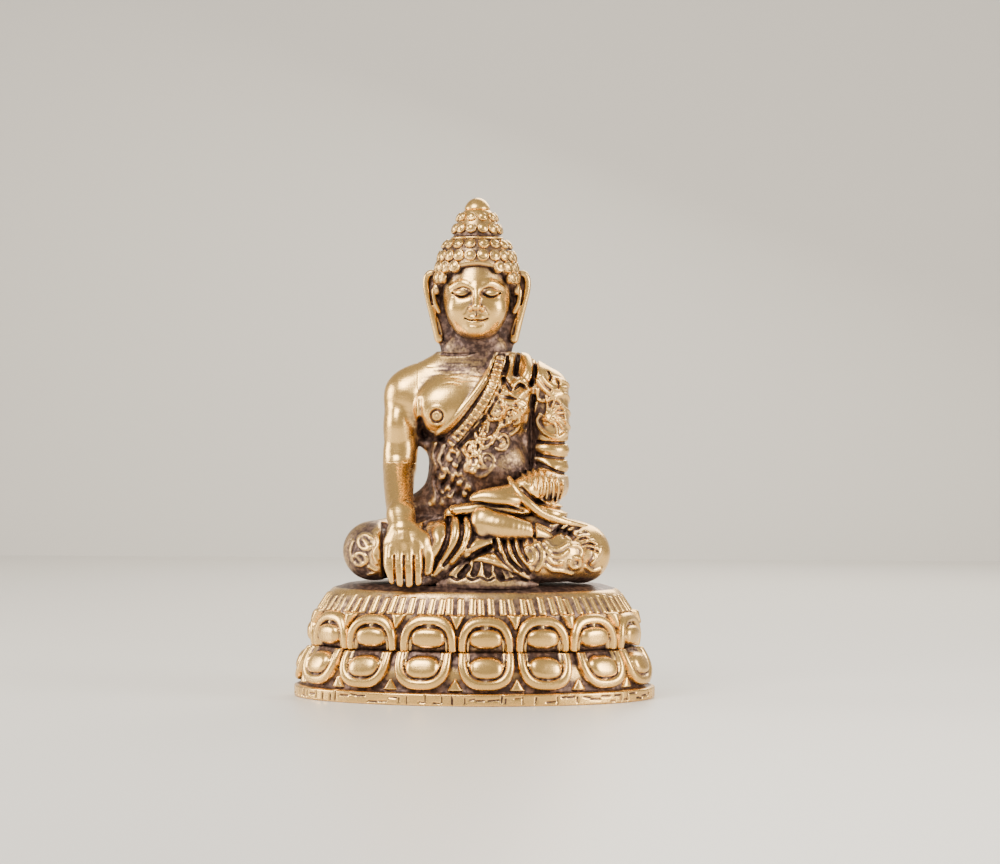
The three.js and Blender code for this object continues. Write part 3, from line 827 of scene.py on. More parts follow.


# ----------------------------------
# Age: where handling keeps the brass bright, where patina stays, and where shade is painted in. Stored on
# each vertex.

AGE_CELL = 0.3  # millimetres
NEAR_CELLS, WIDE_CELLS = 2, 6  # how far the two soft averages look round them
NEAR_PLAIN, WIDE_PLAIN = 0.42, 0.4  # how much of the space round a plain surface is metal
FINE_LIMIT = 0.12  # past this, standing out no longer counts
# What makes a place hollow: its pattern, the space near and round it, not standing out, rough skin, and the
# shade painted in some listed places.
ANYWHERE, PATTERN, NEAR_SPACE, WIDE_SPACE, STANDING_OUT, ROUGH_AND_SHADE = 0.33, 0.8, 2.0, 1.35, 6.0, 0.5


def mesh_arrays(piece):
    """Vertex places in millimetres, normals and edges of a piece."""
    vertices, edges = piece.data.vertices, piece.data.edges
    places, normals = read_array(vertices, "co", 3) / MM, read_array(vertices, "normal", 3)
    return places, normals, read_array(edges, "vertices", 2, np.int64)


def fill_columns(solid, low, piece, depsgraph):
    """Marks the cells of a grid that are inside a piece, by looking up each column of it."""
    tree = BVHTree.FromObject(piece, depsgraph)
    corners = np.array([v[:] for v in piece.bound_box]) / MM
    first = np.maximum(np.floor((corners.min(0) - low) / AGE_CELL).astype(int) - 1, 0)
    last = np.minimum(np.ceil((corners.max(0) - low) / AGE_CELL).astype(int) + 1, solid.shape)
    up, floor = Vector((0, 0, 1)), (corners.min(0)[2] - 1) * MM
    for i in range(first[0], last[0]):
        x = (low[0] + (i + 0.5) * AGE_CELL + 0.0131) * MM
        for j in range(first[1], last[1]):
            y = (low[1] + (j + 0.5) * AGE_CELL + 0.0077) * MM
            start, depth, entered = Vector((x, y, floor)), 0, 0.0
            for _ in range(24):
                hit, normal, _face, _gap = tree.ray_cast(start, up)
                if hit is None:
                    break
                level = hit.z / MM
                if normal.z < 0:
                    depth += 1
                    entered = level if depth == 1 else entered
                else:
                    depth -= 1
                    if depth == 0:
                        a, b = ((value - low[2]) / AGE_CELL - 0.5 for value in (entered, level))
                        solid[i, j, max(0, math.ceil(a)) : max(0, math.floor(b) + 1)] = 1
                start = hit + up * 2e-6


def blurred(field, cells):
    """A soft average over about this many cells each way."""
    for axis in range(3):
        for _ in range(2):
            edges = [(cells + 1, cells) if k == axis else (0, 0) for k in range(3)]
            total = np.cumsum(np.pad(field, edges, mode="edge"), axis, dtype=np.float32)
            width = 2 * cells + 1
            upper = total[tuple(slice(width, None) if k == axis else slice(None) for k in range(3))]
            lower = total[tuple(slice(0, -width) if k == axis else slice(None) for k in range(3))]
            field = (upper - lower) / width
    return field


def read_grid(field, low, points):
    """Values of a grid at points, between its cells."""
    q = np.clip((points - low) / AGE_CELL - 0.5, 0, np.array(field.shape) - 1.001)
    base = q.astype(int)
    t = q - base
    out = 0
    for corner in CORNERS:
        weight = np.prod(np.where(corner == 1, t, 1 - t), axis=1)
        out = out + weight * field[tuple((base + corner).T)]
    return out


def standing_out(points, normals, edges, rounds):
    """How far each vertex stands above its surroundings, in millimetres."""
    smooth = points.astype(np.float64)
    count = np.bincount(edges.ravel(), minlength=len(points)).astype(float)
    a, b = edges.T
    for _ in range(rounds):
        ends = [(k, np.bincount(a, smooth[b, k], len(points))) for k in range(3)]
        total = np.stack([end + np.bincount(b, smooth[a, k], len(points)) for k, end in ends], 1)
        smooth = 0.4 * smooth + 0.6 * total / np.maximum(count, 1)[:, None]
    return ((points - smooth) * normals).sum(1)


def store(piece, label, values):
    """Keeps one value for each vertex of a piece."""
    layer = piece.data.attributes.get(label) or piece.data.attributes.new(label, "FLOAT", "POINT")
    layer.data.foreach_set("value", np.asarray(values, np.float32))


def age_pieces(pieces, rough):
    """Stores patina (0 on worn high places, 1 in hollows, with painted shade added in some of the places that
    rough lists) and skin (rough casting) on each piece.
    """
    low, high = (np.array(c) / MM for c in CAD_BOX)
    low, high = low - 3, high + 3
    solid = np.zeros(np.ceil((high - low) / AGE_CELL).astype(int), np.float32)
    depsgraph = bpy.context.evaluated_depsgraph_get()
    for piece in pieces:
        fill_columns(solid, low, piece, depsgraph)
    near, wide = blurred(solid, NEAR_CELLS), blurred(solid, WIDE_CELLS)
    for piece in pieces:
        points, normals, edges = mesh_arrays(piece)
        close = read_grid(near, low, points + normals * 0.15) - NEAR_PLAIN
        far = read_grid(wide, low, points + normals * 0.3) - WIDE_PLAIN
        fine = np.clip(standing_out(points, normals, edges, 8), -FINE_LIMIT, FINE_LIMIT)
        for axis, level in JOINTS:
            ends = points[:, axis].min(), points[:, axis].max()
            if min(abs(end - level) for end in ends) < 0.35:
                fine = fine * ramp(np.abs(points[:, axis] - level), 0.1, 1.0)
        # The listed places: rough casting skin, and painted shade where the figure lies in shadow.
        skin_and_shade = np.zeros(len(points))
        for lump, strength in rough:
            inside = 1 - ramp(lump.distance(points.astype(np.float32)), -0.6, 0.9)
            skin_and_shade = np.maximum(skin_and_shade, inside * strength)
        hollow = ANYWHERE + PATTERN * recess_of(piece) + NEAR_SPACE * close + WIDE_SPACE * far
        # This darkens the colour of the listed places: rough skin, and painted shade.
        hollow += ROUGH_AND_SHADE * skin_and_shade - STANDING_OUT * fine * (1 - 0.5 * skin_and_shade)
        # The patina attribute holds painted shade as well as patina.
        store(piece, "patina", np.clip(hollow, 0, 1))
        store(piece, "skin", np.clip(skin_and_shade, 0, 1))


# ----------------------------------
# Brass. Patterns read object coordinates, in metres.

WARM_BRASS, DEEP_BRASS = (0.91, 0.58, 0.195), (0.75, 0.44, 0.14)
TARNISH = (0.37, 0.24, 0.14)  # between the bright places and the patina
BROWN_PATINA = (0.2, 0.12, 0.09)
FINISHES = {  # how much more of it stays bright, and how strong its scratches are
    "pedestal_brass": (0.02, 0.3),
    "figure_brass": (0.02, 0.3),
    "robe_brass": (0.1, 0.3),
    "sleeve_brass": (0.12, 0.3),
    "bare_brass": (0.32, 0.4),
    "face_brass": (0.1, 0.35),
    "hair_brass": (-0.2, 0.3),
    "pin_brass": (0.3, 0.3),
}


def noise(tree, scale, detail=3.0, stretch=None, vector=None):
    """A noise pattern, stretched by a mapping if asked for."""
    coords = tree.nodes.new("ShaderNodeTexCoord").outputs["Object"] if vector is None else vector
    if stretch is not None:
        mapping = tree.nodes.new("ShaderNodeMapping")
        mapping.inputs["Rotation"].default_value = tuple(math.radians(a) for a in stretch[1])
        mapping.inputs["Scale"].default_value = stretch[0]
        tree.links.new(coords, mapping.inputs[0])
        coords = mapping.outputs[0]
    node = tree.nodes.new("ShaderNodeTexNoise")
    node.inputs["Scale"].default_value = scale
    node.inputs["Detail"].default_value = detail
    tree.links.new(coords, node.inputs["Vector"])
    return node.outputs["Fac"]


def map_range(tree, value, low, high, to_low=0.0, to_high=1.0, smooth=True):
    node = tree.nodes.new("ShaderNodeMapRange")
    node.interpolation_type = "SMOOTHSTEP" if smooth else "LINEAR"
    for socket, given in zip(node.inputs, (value, low, high, to_low, to_high)):
        wire(tree, given, socket)
    return node.outputs[0]


def mix_color(tree, share, a, b):
    node = tree.nodes.new("ShaderNodeMix")
    node.data_type = "RGBA"
    wire(tree, share, node.inputs[0])
    for value, socket in ((a, node.inputs[6]), (b, node.inputs[7])):
        wire(tree, (*value, 1.0) if isinstance(value, tuple) else value, socket)
    return node.outputs[2]


def patina_group():
    """Patina Over Brass: the colour, metallic and roughness of worn brass from a hollow mask."""
    name = "Patina Over Brass"
    if name in bpy.data.node_groups:
        return bpy.data.node_groups[name]
    tree, given, out = group_tree(
        "Shader",
        name,
        [
            ("Hollow", "Float", 0.3),
            ("Skin", "Float", 0.0),
            ("Bright", "Color", (0.8, 0.6, 0.33, 1)),
            ("Dark", "Color", (0.05, 0.03, 0.025, 1)),
            ("Level", "Float", 0.5),
            ("Polish", "Float", 0.27),
        ],
        [("Color", "Color"), *((label, "Float") for label in ("Metallic", "Roughness", "Cover", "Height"))],
    )
    calc = partial(math_node, tree)
    speckle = noise(tree, 2600.0, 4.0)
    cloud = noise(tree, 420.0, 3.0)
    broken = calc("MULTIPLY_ADD", calc("SUBTRACT", speckle, 0.5), 0.55, given["Hollow"])
    broken = calc("MULTIPLY_ADD", calc("SUBTRACT", cloud, 0.5), 0.35, broken)
    low = calc("SUBTRACT", given["Level"], 0.2)
    high = calc("ADD", given["Level"], 0.26)
    cover = map_range(tree, broken, low, high)
    rim = map_range(tree, broken, calc("SUBTRACT", given["Level"], 0.42), high)
    warm = mix_color(tree, noise(tree, 700.0, 2.0), WARM_BRASS, DEEP_BRASS)
    bright = mix_color(tree, 0.5, given["Bright"], warm)
    toned = mix_color(tree, rim, bright, TARNISH)
    patches = map_range(tree, noise(tree, 1500.0, 3.0), 0.42, 0.66)
    dark = mix_color(tree, patches, given["Dark"], BROWN_PATINA)
    wire(tree, mix_color(tree, cover, toned, dark), out["Color"])
    tree.links.new(map_range(tree, cover, 0.0, 1.0, 1.0, 0.72, False), out["Metallic"])
    rough = map_range(tree, cover, 0.0, 1.0, given["Polish"], 0.46, False)
    rough = calc("MULTIPLY_ADD", calc("SUBTRACT", noise(tree, 1900.0, 3.0), 0.5), 0.16, rough)
    rough = calc("MULTIPLY_ADD", given["Skin"], 0.05, rough)
    tree.links.new(rough, out["Roughness"])
    tree.links.new(cover, out["Cover"])
    grain = noise(tree, 3400.0, 2.0)
    pits = map_range(tree, noise(tree, 5200.0, 1.0), 0.25, 0.4)
    grain = calc("ADD", grain, calc("MULTIPLY", pits, 0.25))
    amount = calc("MULTIPLY_ADD", given["Skin"], 1.1, 0.14)
    amount = calc("MULTIPLY_ADD", cover, 0.4, amount)
    tree.links.new(calc("MULTIPLY", grain, amount), out["Height"])
    return tree


def file_marks_group():
    """File Marks: fine scratches in two directions, weaker under patina."""
    name = "File Marks"
    if name in bpy.data.node_groups:
        return bpy.data.node_groups[name]
    sockets = [("Cover", "Float", 0.0), ("Amount", "Float", 0.3)]
    tree, given, out = group_tree("Shader", name, sockets, [("Height", "Float")])
    calc = partial(math_node, tree)
    first = noise(tree, 900.0, 4.0, ((0.35, 1.0, 5.0), (0, 10, 0)))
    second = noise(tree, 900.0, 3.0, ((6.0, 1.0, 0.5), (0, -14, 0)))
    both = calc("MULTIPLY_ADD", second, 0.45, first)
    bare = calc("SUBTRACT", 1.0, given["Cover"])
    bare = calc("MULTIPLY", bare, given["Amount"])
    tree.links.new(calc("MULTIPLY", both, bare), out["Height"])
    return tree


def brass(name, look):
    """One finish of the casting, made once."""
    if name in bpy.data.materials:
        return bpy.data.materials[name]
    level, scratches = FINISHES[name]
    material = bpy.data.materials.new(name)
    material.use_nodes = True
    tree = material.node_tree
    shader = tree.nodes["Principled BSDF"]

    def group(of):
        node = tree.nodes.new("ShaderNodeGroup")
        node.node_tree = of
        return node

    def attribute(label):
        node = tree.nodes.new("ShaderNodeAttribute")
        node.attribute_name = label
        return node.outputs["Fac"]

    aged = group(patina_group())
    tree.links.new(attribute("patina"), aged.inputs["Hollow"])
    tree.links.new(attribute("skin"), aged.inputs["Skin"])
    aged.inputs["Bright"].default_value = (*look.bright, 1.0)
    aged.inputs["Dark"].default_value = (*look.dark, 1.0)
    aged.inputs["Level"].default_value = look.patina_level + level
    aged.inputs["Polish"].default_value = look.polish
    filed = group(file_marks_group())
    tree.links.new(aged.outputs["Cover"], filed.inputs["Cover"])
    filed.inputs["Amount"].default_value = scratches
    for label, socket in (("Color", "Base Color"), ("Metallic", "Metallic"), ("Roughness", "Roughness")):
        tree.links.new(aged.outputs[label], shader.inputs[socket])
    bump = tree.nodes.new("ShaderNodeBump")
    bump.inputs["Strength"].default_value = 0.5
    bump.inputs["Distance"].default_value = 0.00009
    tree.links.new(math_node(tree, "ADD", aged.outputs["Height"], filed.outputs["Height"]),
        bump.inputs["Height"])
    tree.links.new(bump.outputs[0], shader.inputs["Normal"])
    return material


# ----------------------------------
# The figure. All places are millimetres; the front is -Y, and the viewer's right is the figure's left.

WAIST_LEVEL = DECK + 9.6
ELBOW_LEVEL = DECK + 16.6
NECK_LEVEL = DECK + 32.4
CROWN_LEVEL = DECK + 48.1
FINIAL_LEVEL = DECK + 52.3
SHOULDER = 8.3
HIP_LEVEL = 30.6  # under this the torso spreads past the arms
JOINTS = [(2, WAIST_LEVEL), (2, ELBOW_LEVEL), (2, NECK_LEVEL), (0, -SHOULDER), (0, SHOULDER)]
LAP = 0.2  # how far one piece runs into the next, where the cast surface has no step

BACK = (1, -1, 2.0)


def add(lump, blend=0.0):
    """Puts on a shape, with a fillet as wide as the blend."""
    return ("add", lump, blend)


def cut(lump, blend=0.0):
    """Takes a shape away."""
    return ("cut", lump, blend)


def keep(lump, blend=0.0):
    """Keeps only what is in a shape."""
    return ("keep", lump, blend)


FULLNESS = 1.28  # how much fatter than drawn a raised line is worked
LEAF_FRONT = 1.5  # the leaves lie before this depth


def ridge(points, height, width, **where):
    """A raised line, as wide each way as it is given."""
    return ("mark", drawn(points, **where), -height, width)


def groove(points, depth=0.25, width=0.3, **where):
    """A line worked into the surface."""
    return ("mark", drawn(points, **where), depth, width)


def raised(points, height=0.25, width=0.3, **where):
    """A raised line worked a little fuller than it is given."""
    return ridge(points, height, width * FULLNESS, **where)


def ring_groove(centre, radius, depth, width, **shape):
    """A circle or an arc worked into the surface."""
    return ("mark", ring(centre, radius, **shape), depth, width)


def raised_ring(centre, radius, height=0.25, width=0.28, **shape):
    """A raised circle or arc."""
    return ring_groove(centre, radius, -height, width * FULLNESS, **shape)


def leaf(points, width, height=0.34):
    """A short fat leaf with a vein."""
    return ("leaf", drawn(points, front=LEAF_FRONT), height, width)


def scroll(centre, radius, turn, height, width):
    """A curled leaf: a C with a fat crescent along its inner side, and a hooked end."""
    shape = dict(front=LEAF_FRONT, squash=0.86, tilt=turn * 0.5)
    inner = ring(centre, radius * 0.42, start=turn + 20, sweep=170, **shape)
    return [
        raised_ring(centre, radius, height, width, start=turn, sweep=225, **shape),
        ("leaf", inner, height * 0.85, radius * 0.27),
        ring_groove(centre, radius * 0.74, 0.2, width * 0.6, start=turn, sweep=225, **shape),
    ]


NECK = egg((0, 1.3, 48.4), (4.9, 3.5, 4))
TORSO = [
    add(egg((0, 1.6, 41.2), (8.7, 5.3, 6.6))),
    add(egg((0.6, 1, 32.6), (7.2, 4.9, 7.6)), 2.2),
    add(strand((-9.6, 1.8, 42.3, 3.1), (-3.6, 2.1, 46.3, 2.7), (0, 1.9, 47, 2.9), (3.6, 2, 46.7, 2.8),
        (9.7, 1.8, 42.9, 3.2), steps=2), 1.2),
    add(NECK, 1.6),
    add(egg((0, 1.6, 26.8), (8.8, 6, 3.6)), 2.2),
    add(egg((-4.1, -1.5, 40.4), (4.5, 3, 3.7)), 1.8),
    add(egg((3.6, -1.2, 41), (4.6, 3.1, 4.2)), 1.8),
    add(egg((1.2, -2.2, 32.3), (5.6, 2.9, 4.4)), 1.6),
    add(strand((-7.3, 1.8, 41.5, 2.3), (-6.8, 1.9, 37.6, 1.9)), 1),
    add(strand((7.3, 1.8, 41.5, 2.4), (6.9, 1.9, 36, 2.2), (6.6, 1.6, 31, 2.2)), 1),
    add(egg((-8, 1.8, 26.5), (2.5, 3, 1.6)), 1.4),
    add(strand((-5.3, 0.8, 31.4, 1.1), (-6, 1, 29.2, 1.2), (-7.4, 1.2, 27.2, 1.35)), 0.8),
    add(strand((-8.8, 1.6, 37.2, 1.2), (-7.5, 1.5, 36.1, 1), (-6.2, 1.4, 34.5, 0.8)), 0.8),
]
SEAT = [
    add(egg((0, 0, 20.9), (12, 7.5, 5.3)), 1.2),
    add(strand((5.4, -6.6, 26, 1.1), (8.4, -6.6, 25, 1.4), (11.4, -5.2, 24, 1.6)), 0.8),
    add(strand((-3.4, -5.6, 25.6, 1), (2, -6.4, 26, 1.2), (6.4, -6, 26.4, 1.3)), 1),
]
CHEST = [
    groove([(-7.8, 41.6), (-7.7, 39.4), (-7.5, 37.6), (-7.2, 36.2)], 0.14, 0.4, front=2.5),
    groove([(-7.75, 40.2), (-7.6, 38.6), (-7.4, 37.4), (-7.2, 36.2)], 0.2, 0.6, front=2.5),
    groove([(-7.6, 38.6), (-7.4, 37.4), (-7.1, 36)], 0.32, 0.9, front=2.5),
    groove([(-7.6, 37), (-6.2, 36.4), (-4.6, 36.1)], 0.45, 0.8, front=2.5),
    groove([(-5.1, 48.1), (-3.4, 47.9), (-1.5, 48), (0.4, 48.5)], 0.3, 0.34),
    *[groove([(x, z), (x + run * 0.5, z + 0.1), (x + run, z - 0.05)], 0.05, 0.14, front=1) for x, z, run in (
        (-6.8, 46.2, 3.2), (-5.9, 45.7, 4.2), (-4.2, 46.6, 3.6), (-3.6, 45.2, 3.4), (-5, 44.6, 3),
        (-2.8, 44.2, 3), (-1.9, 46.1, 3.2), (-4.6, 43.8, 2.4), (-2.2, 47.1, 3), (-6.2, 45, 2.4),
        (-2.4, 43.3, 2.2), (-1.2, 44.9, 2))],
    ring_groove((-5.44, 39.3), 0.85, 0.34, 0.3, front=1),
    raised_ring((-5.44, 39.3), 1.25, 0.1, 0.3, front=1),
    ring_groove((-5.44, 39.3), 0.3, 0.2, 0.2, front=1),
]
ROBE_EDGE = [(2.84, 48.2), (1.7, 45.7), (0.2, 43.2), (-2.3, 39.7), (-4.3, 37.5), (-5.9, 36.3)]
LADDER = [(3.35, 47.4), (2.75, 45), (2.1, 43.2), (0.79, 40.75), (-0.84, 38.5), (-2.2, 36.9), (-3.4, 35.5)]
ROBE = [
    raised(ROBE_EDGE, 0.26, 0.34, front=1.6),
    groove([(x + 0.95, z - 0.35) for x, z in ROBE_EDGE], 0.42, 0.34, front=1.6),
    groove([(x + 1.15, z - 0.55) for x, z in LADDER], 0.4, 0.34, front=1.6),
    groove([(5.9, 48.9), (5.85, 47.6), (5.6, 45.9), (5.55, 45.2)], 1.1, 0.46, front=3),
    groove([(4.35, 47.6), (4.2, 46.4), (3.7, 45.2)], 0.4, 0.3, front=3),
    groove([(8.2, 47.8), (8.25, 46.2), (8.1, 44.8), (7.7, 43.8)], 1.2, 0.5, front=3),
    raised([(4.95, 47.6), (4.75, 46), (4.3, 44.8)], 0.3, 0.42, front=3),
    raised([(7, 47.8), (7, 46.2), (6.7, 44.9)], 0.35, 0.55, front=3),
    # leaves and curls over the breast
    groove([(3.75, 44.6), (4.3, 43.9), (4.8, 43)], 0.55, 0.42),
    raised([(3, 44.9), (3.5, 43.4), (4.4, 42.6)], 0.3, 0.42),
    raised([(5.2, 43.7), (6, 44.4), (6.9, 44.1), (7.4, 43.2)], 0.4, 0.42),
    groove([(5.5, 43.2), (6.2, 43.7), (7, 43.2)], 0.45, 0.32),
    raised([(2.9, 42.5), (3.9, 41.6), (5, 41.3), (6.2, 42), (7.4, 43)], 0.42, 0.4),
    raised([(4.6, 42.8), (5.4, 42.2), (6.4, 42.7), (7, 43.4)], 0.32, 0.3),
    groove([(3.4, 41.9), (4.6, 41.9), (5.6, 41.7)], 0.34, 0.3),
    leaf([(2.5, 41), (3.1, 40.2), (2.9, 39.2)], 0.6),
    leaf([(5.5, 40), (5.3, 39.2), (4.6, 38.7)], 0.6),
    leaf([(6, 41.3), (6.7, 41), (7.2, 40.2)], 0.55),
    leaf([(3.8, 41), (4.2, 40.3), (4, 39.4)], 0.5),
    leaf([(1.5, 38.2), (1.3, 37.2), (0.8, 36.5)], 0.55),
    leaf([(-0.3, 35.5), (-0.4, 34.8), (-0.1, 34.1)], 0.55),
    leaf([(3.5, 36.2), (3.9, 35.5), (3.5, 34.9)], 0.5),
    *scroll((2.75, 40), 1.3, 100, 0.42, 0.36),
    *scroll((5, 39.3), 1.25, 200, 0.42, 0.36),
    *scroll((1.15, 37.3), 1.3, 60, 0.42, 0.36),
    *scroll((-0.35, 34.8), 1.25, 20, 0.42, 0.36),
    *scroll((3.6, 35.7), 1.1, 150, 0.34, 0.32),
    *scroll((1.7, 33.2), 0.95, 240, 0.24, 0.32),
    raised([(3.9, 40.9), (3.75, 39.4), (3.4, 38.2), (2.6, 36.8), (2.2, 35.6)], 0.42, 0.36),
    raised([(4.4, 38.2), (3.3, 37.6), (2.9, 36.4), (2, 35.4), (1.2, 34.9)], 0.34, 0.34),
    raised([(6, 40.5), (6.6, 39.8), (7.1, 40.6)], 0.34, 0.32),
    raised([(6.2, 38.6), (5.8, 37.4), (4.9, 36.8)], 0.24, 0.3),
    raised([(1, 35.6), (0.5, 34.2), (0.8, 33)], 0.3, 0.32),
    raised([(-0.9, 33.4), (-0.5, 31.8), (0.4, 31), (1.6, 31.3), (2.4, 32.4)], 0.22, 0.4),
    raised([(0.2, 33), (0.6, 32.2), (1.5, 32.2)], 0.2, 0.34),
    # puckered cloth at the waist
    *[raised([(x - a * math.sin(1.7 * z + x), z)
        for z in (35.4 - 0.2 * i, 34.3, 33.2, 32, 30.9, 29.7, 28.4, 27.2)], 0.34, 0.56, front=2)
      for i, (x, a) in enumerate(((-5.9, 0.25), (-4.85, 0.4), (-3.7, 0.4), (-2.55, 0.5), (-1.4, 0.35)))],
    *[groove([(x - a * math.sin(1.7 * z + x), z) for z in (35.4 - 0.2 * i, 34.3, 33.2, 32, 30.9, 29.7, 28.4)],
        0.24, 0.3, front=2)
      for i, (x, a) in enumerate(((-5.4, 0.3), (-4.25, 0.4), (-3.1, 0.45), (-2, 0.4)))],
    *[raised_ring((x, z), r, 0.34, 0.44, start=turn, sweep=230, front=2) for x, z, r, turn in (
        (-3.2, 33.9, 0.7, 30), (-4.6, 31.3, 0.6, 200), (-2.4, 30.6, 0.65, 80), (-3.9, 28.7, 0.55, 300),
        (-0.6, 32.2, 0.6, 150), (-1.2, 28.9, 0.6, 10))],
    raised([(-3.4, 34.6), (-2.7, 33.9), (-3.3, 33), (-2.5, 32.2)], 0.3, 0.32),
    groove([(8, 42), (7.75, 40), (7.7, 37.6), (7.8, 35), (7.6, 32.6)], 0.6, 0.62, front=1.4),
    groove([(7.6, 41.2), (7, 39.6), (6.9, 37.8)], 0.25, 0.5, front=1.4),
    # the back: the shawl's end over the shoulder, and long slanting folds
    raised([(7.8, 47), (6.9, 43.2), (6.4, 39), (6, 34), (5.8, 28)], 0.34, 0.6, side=BACK),
    groove([(6.6, 47.2), (5.7, 43.2), (5.2, 39), (4.7, 34), (4.5, 28)], 0.3, 0.4, side=BACK),
    raised([(5.6, 47.4), (4.6, 43.2), (4.1, 39), (3.6, 34), (3.4, 28)], 0.26, 0.5, side=BACK),
    raised([(4.5, 48.2), (0.6, 44.8), (-3.6, 41), (-7.6, 37.6)], 0.42, 0.62, side=BACK),
    groove([(5, 46.7), (1.2, 43.6), (-3, 39.8), (-7.4, 36.2)], 0.34, 0.36, side=BACK),
    raised([(4.4, 43.4), (0.6, 40.2), (-3.4, 36.8), (-6.9, 34.4)], 0.26, 0.5, side=BACK),
    raised([(3.6, 39.6), (0.2, 36.8), (-3.4, 34), (-6.4, 32)], 0.26, 0.5, side=BACK),
    raised([(3, 35.4), (-0.4, 33.2), (-3.6, 31.2), (-6.4, 29.6)], 0.26, 0.5, side=BACK),
    raised([(2.6, 31.4), (-0.6, 29.8), (-3.6, 28.4), (-6.6, 27.2)], 0.24, 0.45, side=BACK),
]

UPPER_ARMS = [
    add(strand((-9.6, 1.8, 42.3, 3.1), (-10.2, 1.6, 38.9, 2.68), (-10.6, 1.1, 35, 2.32),
        (-10.7, 0.8, 32, 2.2)), 0.9),
    add(egg((-10.9, 0.9, 38), (2, 2.7, 3.4)), 0.8),
    add(egg((-8.2, 1.9, 41.6), (4.6, 3.2, 4.9)), 0.8),
    add(strand((9.7, 1.8, 42.9, 3.2), (10.3, 1.9, 39, 2.85), (10.3, 1.8, 35, 2.7), (10.2, 1.5, 31, 2.75),
        (10.4, 0.9, 29.6, 2.6)), 0.6),
    add(egg((8.3, 0.5, 44.6), (2.2, 2.8, 2.3)), 1),
]
RIGHT_ARM = [
    add(strand((-10.6, 1, 34, 2.24), (-10.7, 0.6, 32.6, 2.2), (-10.75, -1.2, 30.6, 2.2),
        (-10.6, -5, 28, 1.98), (-10.2, -8.6, 25.6, 1.9)), 0.8),
    add(strand((-10.2, -8.6, 25.6, 1.9), (-9.9, -10.4, 23.8, 1.85), (-9.6, -11.3, 22, 1.7), steps=2), 0.6),
    add(egg((-9.35, -11.35, 21.6), (3.15, 1.35, 3), (-12, 0, 0)), 0.9),
    add(egg((-7.4, -11.3, 21.3), (1.3, 1.2, 2), (0, 18, 0)), 0.8),
]
FINGERS = [
    ((-11.5, -11.7, 21, 0.95), (-11.6, -12.5, 18.9, 0.8), (-11.15, -12.7, 16.8, 0.52)),
    ((-10.3, -12, 21, 0.98), (-10.3, -12.8, 18.6, 0.84), (-10.05, -12.95, 16.5, 0.54)),
    ((-9, -12, 21, 0.98), (-8.95, -12.8, 18.5, 0.84), (-8.85, -12.95, 16.4, 0.54)),
    ((-7.75, -11.8, 20.8, 0.95), (-7.65, -12.6, 18.6, 0.8), (-7.65, -12.8, 16.6, 0.52)),
    ((-6.9, -10.6, 22.4, 1), (-6.25, -11.4, 20.2, 0.88), (-6.45, -11.9, 18, 0.64)),
]


def hand_marks():
    """The fingers and the thumb, the sinews that run into the fingers, and the gaps between them."""
    steps = []
    for finger in FINGERS:
        steps.append(add(strand(*finger, steps=3), 0.35))
        (x0, *_), (x1, _y, z1, _r), _tip = finger
        if finger is not FINGERS[-1]:
            sinew = [(x0 * 0.5 - 4.9, 23.4), (x0, 21.4), (x1, z1 + 1.2)]
            steps.append(raised(sinew, 0.14, 0.62, front=-9))
    for x in (-10.95, -9.65, -8.3):
        steps.append(groove([(x, 20.2), (x + 0.03, 18.6), (x + 0.1, 16)], 0.26, 0.24, front=-10.5))
    return [*steps, groove([(-7.15, 20.9), (-6.95, 19.2), (-7.05, 17.4)], 0.3, 0.3, front=-9.5)]


SLEEVE = [
    add(strand((10.3, 0.8, 30, 2.6), (9.8, -2.2, 29.6, 2.6), (8.4, -4.6, 29.4, 2.4), (6.8, -6.3, 29.1, 1.9)),
        0.9),
    add(egg((10.2, -0.2, 28.4), (1.7, 3, 2.6)), 0.7),
]


def fan_line(a):
    """One leaf of the fan on the upper arm, from its foot out in a direction."""
    middle = (10.2 + 1.1 * math.cos(a), 39.1 + 1.3 * math.sin(a))
    return [(9.4, 38.9), middle, (9.6 + 3.0 * math.cos(a - 0.25), 39.2 + 2.9 * math.sin(a - 0.25))]


